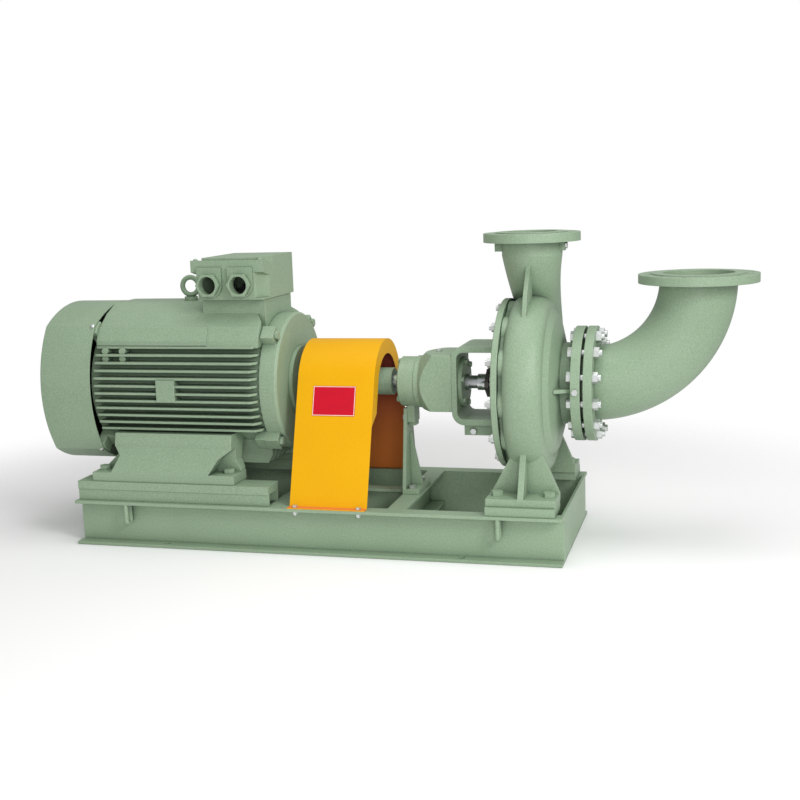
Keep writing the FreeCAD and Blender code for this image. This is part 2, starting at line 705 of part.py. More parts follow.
def hood_outline(scale=1.0):
    """Faceted upper shell of the frame as (y, z) points, from the front fin over the top."""
    half = [(HOOD_FOOT_Y, TOP_FIN_Z - SHAFT_HEIGHT), (HOOD_SHOULDER_Y, HOOD_SHOULDER_RISE),
            (HOOD_CHAMFER_Y, HOOD_CHAMFER_RISE), (HOOD_SLOPE_Y, HOOD_SLOPE_RISE), (HOOD_FLAT_Y, HOOD_HEIGHT)]
    points = [(-y * scale, SHAFT_HEIGHT + z * scale) for y, z in half]
    points += [(y * scale, SHAFT_HEIGHT + z * scale) for y, z in reversed(half)]
    return points


def frame_lug(x0, x1, angle, outer):
    lug = box(x0, x1, -LUG_WIDTH / 2, LUG_WIDTH / 2, SHAFT_HEIGHT + FRAME_RADIUS - 10, SHAFT_HEIGHT + outer)
    return turned_copy(lug, angle)


def motor_frame():
    shapes = [ring(FRAME_START_X, FRAME_END_X, FRAME_BORE - 4, FRAME_RADIUS)]
    for k in range(FIN_COUNT):
        shapes += both_sides(fin(TOP_FIN_Z - k * FIN_PITCH))
    middle = (LOWER_FIN_COUNT - 1) / 2
    shapes += [lower_fin((k - middle) * LOWER_FIN_PITCH) for k in range(LOWER_FIN_COUNT)]
    inner_scale = (HOOD_HEIGHT - HOOD_WALL) / HOOD_HEIGHT
    shell = prism_x(hood_outline(), FRAME_START_X, HOOD_SIDE_END_X)
    hollow = prism_x(hood_outline(inner_scale), FRAME_START_X - 1, HOOD_TOP_END_X - HOOD_WALL)
    below = box(FRAME_START_X - 1, HOOD_SIDE_END_X + 1, -FIN_TIP_RADIUS, FIN_TIP_RADIUS, 0, TOP_FIN_Z)
    core = disc(FRAME_START_X - 1, HOOD_SIDE_END_X + 1, FRAME_RADIUS - 8)
    slant = prism_z([(HOOD_TOP_END_X, -HOOD_SLOPE_Y), (HOOD_SIDE_END_X + 1, -HOOD_SLANT_Y),
                     (HOOD_SIDE_END_X + 1, HOOD_SLANT_Y), (HOOD_TOP_END_X, HOOD_SLOPE_Y)],
                    SHAFT_HEIGHT, SHAFT_HEIGHT + HOOD_HEIGHT + 1)
    shapes.append(shell.cut([hollow, below, core, slant]))
    panel_y = -HOOD_SHOULDER_Y - PANEL_RISE
    panel_back_y = -HOOD_SHOULDER_Y + PANEL_THICKNESS
    shoulder_z = SHAFT_HEIGHT + HOOD_SHOULDER_RISE
    chamfer_z = SHAFT_HEIGHT + HOOD_CHAMFER_RISE
    panel = prism_x([(panel_y, TOP_FIN_Z + 6), (panel_y, shoulder_z),
                     (-HOOD_CHAMFER_Y - PANEL_RISE, chamfer_z), (-HOOD_CHAMFER_Y, chamfer_z - 4),
                     (panel_back_y, shoulder_z), (panel_back_y, TOP_FIN_Z + 6)],
                    FRAME_START_X, PANEL_END_X)
    shapes.append(panel)
    pedestal = box(PEDESTAL_X0, PEDESTAL_X1, PEDESTAL_Y0, PEDESTAL_Y1, shoulder_z, BOX_FLOOR_Z)
    shapes.append(pedestal.cut(disc(PEDESTAL_X0 - 1, PEDESTAL_X1 + 1, FRAME_RADIUS - 8)))
    pad_front = -MOTOR_FOOT_OUTSIDE_Y + FOOT_LEAN
    pad_outline = [(pad_front, MOTOR_FOOT_TOP_Z), (pad_front, MOTOR_FOOT_TOP_Z + FRAME_PAD_BEVEL),
                   (pad_front + FRAME_PAD_STEP, FRAME_PAD_TOP_Z), (-FRAME_PAD_INSIDE_Y, FRAME_PAD_TOP_Z),
                   (-FRAME_PAD_INSIDE_Y, MOTOR_FOOT_TOP_Z)]
    pad = prism_x(pad_outline, FRAME_START_X + FOOT_UPRIGHT_SETBACK, MOTOR_FOOT_X1 - FOOT_UPRIGHT_END)
    shapes += both_sides(pad.cut(disc(FRAME_START_X, FRAME_END_X, FRAME_RADIUS - 8)))
    for angle in LUG_ANGLES:
        shapes.append(frame_lug(FRAME_END_X - LUG_LENGTH, FRAME_END_X, angle, LUG_RADIUS))
        shapes.append(frame_lug(FRAME_START_X, FRAME_START_X + LUG_LENGTH, angle, LUG_RADIUS))
    side_pad = box(SIDE_PAD_X0, SIDE_PAD_X1, -FIN_TIP_RADIUS - SIDE_PAD_RISE, -FRAME_RADIUS + 10,
                   SHAFT_HEIGHT - SIDE_PAD_BELOW, SHAFT_HEIGHT + SIDE_PAD_ABOVE)
    shapes.append(side_pad)
    for x in FIN_BOSSES_X:
        for k in (0.5, 1.5):
            boss = rod(V(x, -FIN_BOSS_Y, TOP_FIN_Z - k * FIN_PITCH), V(0, 1, 0), FIN_BOSS_RADIUS,
                       FIN_BOSS_LENGTH)
            shapes.append(boss)
    whole = joined(shapes)
    tools = [disc(FRAME_START_X - 1, FRAME_END_X + 1, FRAME_BORE)]
    for y, z in on_circle(LUG_BOLT_CIRCLE, len(LUG_ANGLES), LUG_ANGLES[0]):
        tools.append(x_rod(FRAME_END_X - 30, FRAME_END_X + 1, y, z, SHIELD_BOLT_RADIUS + THREAD_CLEARANCE))
        tools.append(x_rod(FRAME_START_X - 1, FRAME_START_X + 30, y, z,
                           SHIELD_BOLT_RADIUS + THREAD_CLEARANCE))
    tools.append(z_rod(EYE_X, 0, SHAFT_HEIGHT + HOOD_HEIGHT - HOOD_WALL - 1, SHAFT_HEIGHT + HOOD_HEIGHT + 1,
                       EYE_SHANK_RADIUS + THREAD_CLEARANCE))
    duct = box(PEDESTAL_X0 + 40, PEDESTAL_X1 - 40, DUCT_Y0, DUCT_Y1, SHAFT_HEIGHT + FRAME_BORE - 20,
               BOX_FLOOR_Z + 1)
    tools.append(duct)
    return cut(whole, tools)


def drive_end_shield():
    face = FRAME_END_X + SHIELD_DEPTH
    seat = MOTOR_BEARING_OUTER
    spigot = FRAME_BORE - RUNNING_CLEARANCE
    outline = [(face, seat), (face, SHIELD_RADIUS - 6), (face - 6, SHIELD_RADIUS),
               (FRAME_END_X, SHIELD_RADIUS),
               (FRAME_END_X, spigot), (FRAME_END_X - 10, spigot), (FRAME_END_X - 10, spigot - 12),
               (face - 19, spigot - 12), (face - 19, seat + 22), (DRIVE_BEARING_X - 2, seat + 16),
               (DRIVE_BEARING_X - 2, seat)]
    lugs = [frame_lug(FRAME_END_X, FRAME_END_X + SHIELD_LUG, angle, LUG_RADIUS + 3) for angle in LUG_ANGLES]
    shield = joined([turned(outline)] + lugs)
    holes = [x_rod(FRAME_END_X - 1, FRAME_END_X + SHIELD_LUG + 1, y, z,
                   SHIELD_BOLT_RADIUS + BOLT_CLEARANCE / 2)
             for y, z in on_circle(LUG_BOLT_CIRCLE, len(LUG_ANGLES), LUG_ANGLES[0])]
    return cut(shield, holes)


def fan_end_shield():
    seat = MOTOR_BEARING_OUTER
    spigot = FRAME_BORE - RUNNING_CLEARANCE
    back = FRAME_START_X - 30
    outline = [(FAN_BEARING_X - 3, seat), (FAN_BEARING_X - 3, seat + 16), (back, seat + 22),
               (back, FAN_SHIELD_RADIUS),
               (FRAME_START_X, FAN_SHIELD_RADIUS), (FRAME_START_X, spigot), (FRAME_START_X + 10, spigot),
               (FRAME_START_X + 10, spigot - 12), (back + 14, spigot - 12), (back + 14, seat + 22),
               (FAN_BEARING_X + MOTOR_BEARING_WIDTH + 2, seat + 16),
               (FAN_BEARING_X + MOTOR_BEARING_WIDTH + 2, seat)]
    inside_cowl = Part.Face(cowl_outline(FRAME_START_X - FAN_LUG, COWL_SHEET + RUNNING_CLEARANCE)).extrude(
        V(FAN_LUG, 0, 0))
    lugs = [frame_lug(FRAME_START_X - FAN_LUG, FRAME_START_X, angle, COWL_HALF_WIDTH + COWL_CREASE_Z / 5)
            .common(inside_cowl) for angle in LUG_ANGLES]
    shield = joined([turned(outline)] + lugs)
    holes = []
    for y, z in on_circle(LUG_BOLT_CIRCLE, len(LUG_ANGLES), LUG_ANGLES[0]):
        holes.append(x_rod(FRAME_START_X - FAN_LUG - 1, FRAME_START_X + 1, y, z,
                           SHIELD_BOLT_RADIUS + BOLT_CLEARANCE / 2))
    return cut(shield, holes)


def cowl_outline(x, inset):
    """Section of the cowl at x, drawn in by inset: four arcs that meet in creases."""
    side = COWL_HALF_WIDTH - inset
    top = COWL_HALF_HEIGHT - inset
    y = COWL_CREASE_Y - inset
    z = COWL_CREASE_Z - inset
    corners = [(-y, z), (y, z), (y, -z), (-y, -z)]
    middles = [(0, top), (side, 0), (0, -top), (-side, 0)]
    arcs = []
    for k, middle in enumerate(middles):
        places = (corners[k], middle, corners[(k + 1) % 4])
        arcs.append(Part.Arc(*[V(x, across, SHAFT_HEIGHT + up) for across, up in places]).toShape())
    return Part.Wire(arcs)


def cowl_body(inset, front_x):
    """Solid form of the cowl with a bevelled back edge, drawn in by inset."""
    back = COWL_START_X + inset
    tube = Part.Face(cowl_outline(back + COWL_EDGE, inset)).extrude(V(front_x - back - COWL_EDGE, 0, 0))
    end = Part.makeLoft([cowl_outline(back, inset + COWL_EDGE), cowl_outline(back + COWL_EDGE, inset)], True,
                        True)
    return joined([tube, end])


def fan_cowl():
    """Sheet cowl over the fan with ring slots in its back."""
    shell = cowl_body(0, COWL_END_X).cut(cowl_body(COWL_SHEET, COWL_END_X + 1))
    slots = []
    for k in range(GRILLE_SLOTS):
        r = GRILLE_FIRST + k * GRILLE_PITCH
        slots.append(ring(COWL_START_X - 1, COWL_START_X + COWL_SHEET + 1, r, r + GRILLE_SLOT))
    spokes = []
    for angle in GRILLE_SPOKE_ANGLES:
        bar = box(COWL_START_X - 2, COWL_START_X + COWL_SHEET + 2, -GRILLE_SPOKE / 2, GRILLE_SPOKE / 2,
                  SHAFT_HEIGHT - COWL_HALF_HEIGHT, SHAFT_HEIGHT + COWL_HALF_HEIGHT)
        spokes.append(turned_copy(bar, angle))
    grille = [slot.cut(spokes) for slot in slots]
    return cut(shell, grille)


def build_motor_housing():
    keep("motor_frame", motor_frame())
    keep("drive_end_shield", drive_end_shield())
    keep("fan_end_shield", fan_end_shield())
    face = FRAME_END_X + SHIELD_DEPTH
    keep("drive_bearing_cap", ring(face, face + 13, MOTOR_CAP_BORE, CAP_RADIUS))
    keep("fan_cowl", fan_cowl())
    bolts = []
    for y, z in on_circle(LUG_BOLT_CIRCLE, len(LUG_ANGLES), LUG_ANGLES[0]):
        bolts.append(bolt(V(FRAME_END_X + SHIELD_LUG, y, z), V(-1, 0, 0), SHIELD_BOLT_RADIUS, SHIELD_LUG,
                          nut=False, tail=26))
        bolts.append(bolt(V(FRAME_START_X - FAN_LUG, y, z), V(1, 0, 0), SHIELD_BOLT_RADIUS, FAN_LUG,
                          nut=False, tail=26))
    keep("shield_bolts", *bolts)


# Terminal box and lifting eye
def split_z(y):
    """Height of the sloping joint between the terminal box and its lid."""
    share = (y - BOX_FRONT_Y) / (BOX_REAR_Y - BOX_FRONT_Y)
    return BOX_SPLIT_FRONT_Z + share * (BOX_SPLIT_REAR_Z - BOX_SPLIT_FRONT_Z)


def corner_wedge(run_y, z0, z1, inset=0.0):
    """Upright triangle that takes off the front right corner, drawn in by inset for a wall."""
    slope = BOX_CORNER_X / run_y
    x0 = BOX_END_X - BOX_CORNER_X - inset * math.hypot(1, slope)
    y0 = BOX_FRONT_Y
    reach = BOX_END_X + 1 - x0
    return prism_z([(x0, y0), (x0 - slope, y0 - 1), (x0 + reach, y0 - 1), (x0 + reach, y0 + reach / slope)],
                   z0, z1)


def screw_ear(y, z_below, z_above):
    """Ear that stands out at the left for a lid screw, between two heights under and over the joint."""
    y0, y1 = sorted((BOX_FRONT_Y if y < 0 else BOX_REAR_Y, y + math.copysign(BOX_EAR_WIDTH - 13, -y)))
    return prism_x([(y0, split_z(y0) - z_below), (y1, split_z(y1) - z_below), (y1, split_z(y1) + z_above),
                    (y0, split_z(y0) + z_above)], BOX_EAR_X, BOX_START_X + BOX_WALL / 2)


def terminal_box():
    w = BOX_WALL
    body = prism_x([(BOX_FRONT_Y, BOX_FLOOR_Z), (BOX_REAR_Y, BOX_FLOOR_Z), (BOX_REAR_Y, BOX_SPLIT_REAR_Z),
                    (BOX_FRONT_Y, BOX_SPLIT_FRONT_Z)], BOX_START_X, BOX_END_X)
    under_ear = prism_x([(BOX_FRONT_Y - 2, BOX_FLOOR_Z + BOX_LIP), (BOX_REAR_Y, BOX_FLOOR_Z + BOX_LIP),
                         (BOX_REAR_Y, BOX_SPLIT_REAR_Z - BOX_EAR),
                         (BOX_FRONT_Y - 2, BOX_SPLIT_FRONT_Z - BOX_EAR)],
                        BOX_END_X - 2 * BOX_CORNER_X, BOX_END_X + 2)
    corner = corner_wedge(BOX_CORNER_Y, BOX_FLOOR_Z, BOX_TOP_Z).common(under_ear)
    hollow = prism_x([(BOX_FRONT_Y + w, BOX_FLOOR_Z + w), (BOX_REAR_Y - w, BOX_FLOOR_Z + w),
                      (BOX_REAR_Y - w, BOX_TOP_Z), (BOX_FRONT_Y + w, BOX_TOP_Z)], BOX_START_X + w,
                     BOX_END_X - w)
    hollow = hollow.cut(corner_wedge(BOX_CORNER_Y, BOX_FLOOR_Z, BOX_TOP_Z + 1, w))
    pads = []
    for x in GLAND_X:
        pads.append(rod(V(x, BOX_FRONT_Y + 1, GLAND_Z), V(0, -1, 0), GLAND_PAD_RADIUS, GLAND_PAD + 1))
        pads.append(box(x - GLAND_PAD_RADIUS, x + GLAND_PAD_RADIUS, BOX_FRONT_Y - GLAND_PAD, BOX_FRONT_Y + 1,
                        GLAND_Z, BOX_SPLIT_FRONT_Z - 1))
    post_x = LID_SCREW_X[1]
    posts = [z_rod(post_x, y, BOX_FLOOR_Z + w - 1, BOX_TOP_Z, LID_POST_RADIUS).common(body)
             for y in LID_SCREW_Y]
    ears = [screw_ear(y, BOX_EAR, 0) for y in LID_SCREW_Y]
    floor_hole = box(PEDESTAL_X0 + 40, PEDESTAL_X1 - 40, DUCT_Y0, DUCT_Y1, BOX_FLOOR_Z - 1,
                     BOX_FLOOR_Z + w + 1)
    entries = [rod(V(x, BOX_FRONT_Y - GLAND_PAD - 1, GLAND_Z), V(0, 1, 0), GLAND_BORE + GLAND_SHANK,
                   GLAND_PAD + w + 2) for x in GLAND_X]
    return cut(joined([body.cut(hollow)] + posts + pads + ears), entries + [floor_hole, corner])


def terminal_box_lid():
    w = BOX_WALL
    rim = prism_x([(BOX_FRONT_Y, BOX_SPLIT_FRONT_Z), (BOX_REAR_Y, BOX_SPLIT_REAR_Z),
                   (BOX_REAR_Y, BOX_SPLIT_REAR_Z + LID_RIM), (BOX_FRONT_Y, BOX_SPLIT_FRONT_Z + LID_RIM)],
                  BOX_START_X, BOX_END_X)
    front = BOX_FRONT_Y + LID_STEP
    start = BOX_START_X + 3 * LID_STEP
    dome = prism_x([(front, BOX_SPLIT_FRONT_Z + LID_RIM / 2), (BOX_REAR_Y, BOX_SPLIT_REAR_Z + LID_RIM / 2),
                    (BOX_REAR_Y, BOX_TOP_Z), (front, BOX_TOP_Z)], start, BOX_END_X)
    dome = dome.cut(corner_wedge(LID_CORNER_Y, BOX_FLOOR_Z, BOX_TOP_Z + 1))
    hollow = prism_x([(front + w, BOX_SPLIT_FRONT_Z - 40), (BOX_REAR_Y - w, BOX_SPLIT_REAR_Z - 40),
                      (BOX_REAR_Y - w, BOX_TOP_Z - w), (front + w, BOX_TOP_Z - w)], start + w, BOX_END_X - w)
    hollow = hollow.cut(corner_wedge(LID_CORNER_Y, BOX_FLOOR_Z - 40, BOX_TOP_Z + 1, w))
    x = LID_SCREW_X[1]
    y = LID_SCREW_Y[1]
    post = z_rod(x, y, split_z(y), BOX_TOP_Z, LID_POST_RADIUS).common(dome)
    recess = z_rod(x, y, split_z(y) + LID_RIM, BOX_TOP_Z + 1, LID_COUNTERBORE)
    ears = [screw_ear(y, 0, LID_RIM) for y in LID_SCREW_Y]
    return cut(joined([rim.cut(hollow), dome.cut(hollow), post] + ears), [recess])


def cable_gland(x):
    """Hexagon gland with an open bore, screwed through the pad of the front wall."""
    seat = V(x, BOX_FRONT_Y - GLAND_PAD, GLAND_Z)
    out = V(0, -1, 0)
    collar = GLAND_LENGTH - GLAND_PAD - GLAND_HEXAGON
    body = joined([rod(seat, out, GLAND_ACROSS_FLATS / 2, collar),
                   hexagon(seat + out * collar, out, GLAND_ACROSS_FLATS, GLAND_HEXAGON),
                   rod(seat - out * (GLAND_PAD + BOX_WALL), out, GLAND_BORE + GLAND_SHANK - THREAD_CLEARANCE,
                       GLAND_PAD + BOX_WALL + 1)])
    return cut(body, [rod(seat - out * (GLAND_PAD + BOX_WALL + 1), out, GLAND_BORE,
                          GLAND_LENGTH + BOX_WALL + 2)])


def lifting_eye():
    collar_z = SHAFT_HEIGHT + HOOD_HEIGHT
    centre_z = collar_z + 10 + EYE_RING_RADIUS + EYE_BAR_RADIUS
    eye = Part.makeTorus(EYE_RING_RADIUS, EYE_BAR_RADIUS, V(EYE_X, 0, centre_z), V(0, 1, 0))
    collar = z_rod(EYE_X, 0, collar_z, collar_z + 12, 21)
    shank = z_rod(EYE_X, 0, collar_z - HOOD_WALL, collar_z + 1, EYE_SHANK_RADIUS)
    window = rod(V(EYE_X, -30, centre_z), V(0, 1, 0), EYE_RING_RADIUS - EYE_BAR_RADIUS, 60)
    return joined([eye, collar.cut(window), shank])


def terminal_board():
    x0 = BOX_START_X + 50
    x1 = BOX_END_X - 50
    z0 = BOX_FLOOR_Z + BOX_WALL
    board = box(x0, x1, -60, -20, z0, z0 + 14)
    studs = [z_rod(x0 + 17 + 36 * k, y, z0 + 13, z0 + 30, 4) for k in range(3) for y in (-51, -29)]
    return joined([board] + studs)


def build_terminal_box():
    keep("terminal_box", terminal_box())
    keep("terminal_box_lid", terminal_box_lid())
    keep("terminal_board", terminal_board())
    keep("cable_glands", *[cable_gland(x) for x in GLAND_X])
    keep("lifting_eye", lifting_eye())


# Rolling bearings
def bearing_rings(x0, bore, outer, width, race):
    """Outer ring, and inner ring with its rollers, of a roller bearing that starts at x0."""
    x1 = x0 + width
    lip = width / 6
    pitch = (outer + bore) / 2
    roller = (outer - bore) / 2 - race
    track = bore + race
    outer_ring = ring(x0, x1, pitch + roller + RUNNING_CLEARANCE, outer)
    inner_ring = turned([(x0, bore), (x0, track + 2), (x0 + lip, track + 2), (x0 + lip, track),
                         (x1 - lip, track), (x1 - lip, track + 2), (x1, track + 2), (x1, bore)])
    rollers = [x_rod(x0 + lip, x1 - lip, y, z, roller) for y, z in on_circle(pitch, ROLLER_COUNT)]
    return outer_ring, [inner_ring] + rollers


# Motor rotor
def motor_shaft():
    r = MOTOR_SHAFT_RADIUS
    seat = MOTOR_BEARING_INNER
    fan_end = FAN_BEARING_X
    drive = DRIVE_BEARING_X
    width = MOTOR_BEARING_WIDTH
    end = MOTOR_SHOULDER_X + MOTOR_SHAFT_LENGTH
    return turned([(MOTOR_SHAFT_FAN_X, 0), (MOTOR_SHAFT_FAN_X, FAN_SEAT_RADIUS),
                   (fan_end - 4, FAN_SEAT_RADIUS),
                   (fan_end - 4, seat), (fan_end + width, seat), (fan_end + width, ROTOR_BORE),
                   (drive, ROTOR_BORE), (drive, seat), (drive + width, seat), (drive + width, seat - 1.5),
                   (MOTOR_SHOULDER_X, seat - 1.5), (MOTOR_SHOULDER_X, r), (end - 2, r),
                   (end, r - 2), (end, 0)])


def cooling_fan():
    """Radial fan: hub, back disc and straight blades on its motor side."""
    disc_x = MOTOR_SHAFT_FAN_X + FAN_DISC_SETBACK
    hub_end = disc_x + FAN_BLADE_ROOT_WIDTH
    root_z = SHAFT_HEIGHT + FAN_BLADE_ROOT
    tip_z = SHAFT_HEIGHT + FAN_RADIUS
    half = FAN_BLADE_THICKNESS / 2
    hub = ring(MOTOR_SHAFT_FAN_X + 4, hub_end, FAN_SEAT_RADIUS, FAN_SEAT_RADIUS + 17)
    plate = ring(disc_x, disc_x + FAN_DISC, FAN_SEAT_RADIUS + 16, FAN_RADIUS)
    blades = []
    for k in range(FAN_BLADES):
        blade = prism_y([(disc_x + 4, root_z), (disc_x + 4, tip_z), (disc_x + FAN_BLADE_TIP_WIDTH, tip_z),
                         (hub_end, root_z)], -half, half)
        blades.append(turned_copy(blade, 360.0 * k / FAN_BLADES))
    return joined([hub, plate] + blades)


def coupling_places():
    return list(on_circle(PIN_CIRCLE, PIN_COUNT, 180.0 / PIN_COUNT))


def motor_half_coupling():
    start = MOTOR_HUB_START_X
    face = COUPLING_FACE_X
    back = face - COUPLING_DISC
    half = turned([(start, MOTOR_SHAFT_RADIUS), (start, MOTOR_HUB_RADIUS - 3), (start + 3, MOTOR_HUB_RADIUS),
                   (back, MOTOR_HUB_RADIUS), (back, COUPLING_DISC_RADIUS), (face, COUPLING_DISC_RADIUS),
                   (face, MOTOR_SHAFT_RADIUS)])
    return cut(half, [x_rod(back - 1, face + 1, y, z, PIN_RADIUS) for y, z in coupling_places()])


def coupling_pins():
    """Steel pins fixed in the motor half, each with a rubber bush that runs in the pump half."""
    back = COUPLING_FACE_X - COUPLING_DISC
    bush_start = COUPLING_FACE_X + COUPLING_GAP
    bush_end = bush_start + COUPLING_DISC
    solids = []
    for y, z in coupling_places():
        pin = joined([x_rod(back, bush_end + 3, y, z, PIN_RADIUS),
                      x_rod(back - 8, back, y, z, PIN_RADIUS + 4)])
        outer = x_rod(bush_start, bush_end, y, z, BUSH_RADIUS - RUNNING_CLEARANCE)
        solids += [pin, outer.cut(x_rod(bush_start - 1, bush_end + 1, y, z, PIN_RADIUS))]
    return solids


def build_motor_rotor():
    keep("motor_shaft", motor_shaft())
    ring_start = CORE_START_X - END_RING_LENGTH
    ring_end = CORE_END_X + END_RING_LENGTH
    core = turned([(CORE_START_X, ROTOR_BORE), (CORE_START_X, END_RING_INNER - 2),
                   (ring_start, END_RING_INNER), (ring_start, END_RING_OUTER),
                   (CORE_START_X, END_RING_OUTER + 2), (CORE_START_X, ROTOR_RADIUS),
                   (CORE_END_X, ROTOR_RADIUS), (CORE_END_X, END_RING_OUTER + 2),
                   (ring_end, END_RING_OUTER), (ring_end, END_RING_INNER),
                   (CORE_END_X, END_RING_INNER - 2), (CORE_END_X, ROTOR_BORE)])
    keep("rotor_core", core)
    keep("cooling_fan", cooling_fan())
    keep("motor_half_coupling", motor_half_coupling())
    keep("coupling_pins", *coupling_pins())
    drive_outer, drive_inner = bearing_rings(DRIVE_BEARING_X, MOTOR_BEARING_INNER, MOTOR_BEARING_OUTER,
                                             MOTOR_BEARING_WIDTH, MOTOR_BEARING_RACE)
    fan_outer, fan_inner = bearing_rings(FAN_BEARING_X, MOTOR_BEARING_INNER, MOTOR_BEARING_OUTER,
                                         MOTOR_BEARING_WIDTH, MOTOR_BEARING_RACE)
    keep("motor_bearing_outer_rings", drive_outer, fan_outer)
    keep("motor_bearing_inner_rings", *(drive_inner + fan_inner))
    bore = ROTOR_RADIUS + AIR_GAP
    keep("stator_core", ring(CORE_START_X, CORE_END_X, bore, FRAME_BORE))
    windings = [ring(x0, x0 + WINDING_LENGTH, bore + 5, FRAME_BORE - 9)
                for x0 in (CORE_START_X - WINDING_LENGTH, CORE_END_X)]
    keep("stator_windings", *windings)


# Pump half of the coupling and the guard
def pump_half_coupling():
    face = COUPLING_FACE_X + COUPLING_GAP
    back = face + COUPLING_DISC
    half = turned([(face, PUMP_COUPLING_SEAT), (face, COUPLING_DISC_RADIUS), (back, COUPLING_DISC_RADIUS),
                   (back, PUMP_HUB_RADIUS), (PUMP_HUB_END_X - 2, PUMP_HUB_RADIUS),
                   (PUMP_HUB_END_X, PUMP_HUB_RADIUS - 2), (PUMP_HUB_END_X, PUMP_COUPLING_SEAT)])
    return cut(half, [x_rod(face - 1, back + 1, y, z, BUSH_RADIUS) for y, z in coupling_places()])


def guard_section(radius, foot_y, x0, x1):
    """Solid under a half-round crown whose sides run tangent down to foot_y at the base."""
    drop = GUARD_CROWN_Z - BASE_HEIGHT
    reach = math.hypot(foot_y, drop)
    angle = math.acos(radius / reach) - math.atan2(drop, foot_y)
    y = radius * math.cos(angle)
    z = GUARD_CROWN_Z + radius * math.sin(angle)
    crown = Part.Arc(V(x0, -y, z), V(x0, 0, GUARD_CROWN_Z + radius), V(x0, y, z)).toShape()
    edges = [Part.makeLine(V(x0, -foot_y, BASE_HEIGHT), V(x0, -y, z)), crown,
             Part.makeLine(V(x0, y, z), V(x0, foot_y, BASE_HEIGHT)),
             Part.makeLine(V(x0, foot_y, BASE_HEIGHT), V(x0, -foot_y, BASE_HEIGHT))]
    return Part.Face(Part.Wire(edges)).extrude(V(x1 - x0, 0, 0))


def coupling_guard():
    sheet = GUARD_SHEET
    outer = guard_section(GUARD_CROWN_RADIUS, GUARD_FOOT_Y, GUARD_START_X, GUARD_END_X)
    inner = guard_section(GUARD_CROWN_RADIUS - sheet, GUARD_FOOT_Y - sheet, GUARD_START_X - 1,
                          GUARD_END_X + 1)
    shapes = [outer.cut(inner)]
    for x0 in (GUARD_START_X, GUARD_END_X - sheet):
        lip = guard_section(GUARD_CROWN_RADIUS, GUARD_FOOT_Y, x0, x0 + sheet).cut(
            guard_section(GUARD_CROWN_RADIUS - GUARD_LIP, GUARD_FOOT_Y - GUARD_LIP, x0 - 1, x0 + sheet + 1))
        below = prism_x([(-300, 0), (-300, GUARD_LIP_END_Z - 40), (0, GUARD_LIP_END_Z + 130),
                         (300, GUARD_LIP_END_Z - 40), (300, 0)], x0 - 1, x0 + sheet + 1)
        shapes.append(lip.cut(below))
    flange = box(GUARD_START_X, GUARD_END_X, -GUARD_FLANGE_Y, -GUARD_FOOT_Y + sheet / 2,
                 BASE_HEIGHT, BASE_HEIGHT + sheet)
    shapes += both_sides(flange)
    holes = []
    for x in (GUARD_START_X + GUARD_BOLT_INSET, GUARD_END_X - GUARD_BOLT_INSET):
        holes += both_sides(z_rod(x, -GUARD_BOLT_Y, BASE_HEIGHT - 1, BASE_HEIGHT + 2 * sheet,
                                  GUARD_BOLT_RADIUS + BOLT_CLEARANCE / 2))
    return cut(joined(shapes), holes)


def build_guard():
    keep("coupling_guard", coupling_guard())
    bolts = []
    for x in (GUARD_START_X + GUARD_BOLT_INSET, GUARD_END_X - GUARD_BOLT_INSET):
        seat = V(x, -GUARD_BOLT_Y, BASE_HEIGHT + GUARD_SHEET)
        bolts += both_sides(bolt(seat, V(0, 0, -1), GUARD_BOLT_RADIUS, GUARD_SHEET + BEAM_FLANGE_THICKNESS))
    keep("guard_bolts", *bolts)


# Volute and nozzle
def rounded_section(centre, radial, half_x, half_r, power):
    """Closed curve between an ellipse and a rectangle, in the plane of +X and radial."""
    points = []
    for k in range(8):
        angle = math.pi * k / 4
        c = math.cos(angle)
        s = math.sin(angle)
        a = math.copysign(abs(c) ** (2 / power), c) * half_x
        b = math.copysign(abs(s) ** (2 / power), s) * half_r
        points.append(centre + V(a, 0, 0) + radial * b)
    curve = Part.BSplineCurve()
    curve.interpolate(Points=points, PeriodicFlag=True)
    return Part.Wire([curve.toShape()])


def spiral_sections(wall):
    sections = []
    for k in range(VOLUTE_STATIONS):
        share = k / (VOLUTE_STATIONS - 1)
        degrees = VOLUTE_START_ANGLE + share * (VOLUTE_END_ANGLE - VOLUTE_START_ANGLE)
        angle = math.radians(degrees)
        crest = VOLUTE_CREST_START + VOLUTE_CREST_GROWTH * degrees / 360
        radial = V(0, -math.sin(angle), math.cos(angle))
        middle = (crest + VOLUTE_ROOT) / 2
        centre = V(PUMP_CENTRE_X, 0, SHAFT_HEIGHT) + radial * middle
        sections.append(rounded_section(centre, radial, VOLUTE_HALF_WIDTH - wall,
                                        (crest - VOLUTE_ROOT) / 2 - wall, VOLUTE_SQUARENESS))
    return sections


def nozzle_sections(wall):
    sections = [spiral_sections(wall)[-1]]
    for y, z, lean, half_x, half_r in NOZZLE_BEND:
        angle = math.radians(lean)
        radial = V(0, math.cos(angle), math.sin(angle))
        sections.append(rounded_section(V(PUMP_CENTRE_X, y, z), radial, half_x - wall, half_r - wall,
                                        NECK_SQUARENESS))
    radius = DISCHARGE_BORE + CASING_WALL - wall
    top = DISCHARGE_FACE_Z - DISCHARGE_FLANGE - NOZZLE_STRAIGHT
    sections.append(rounded_section(V(PUMP_CENTRE_X, 0, top), V(0, 1, 0), radius, radius, 2.0))
    return sections


def volute_space(wall):
    """The spiral and the neck up to the discharge flange, drawn in by wall all round."""
    sections = nozzle_sections(wall)
    spiral = Part.makeLoft(spiral_sections(wall), True, False)
    neck = Part.makeLoft(sections, True, False)
    rise = DISCHARGE_FLANGE + NOZZLE_STRAIGHT + (1 if wall else -1)
    straight = Part.Face(sections[-1]).extrude(V(0, 0, rise))
    return [spiral, neck, straight]


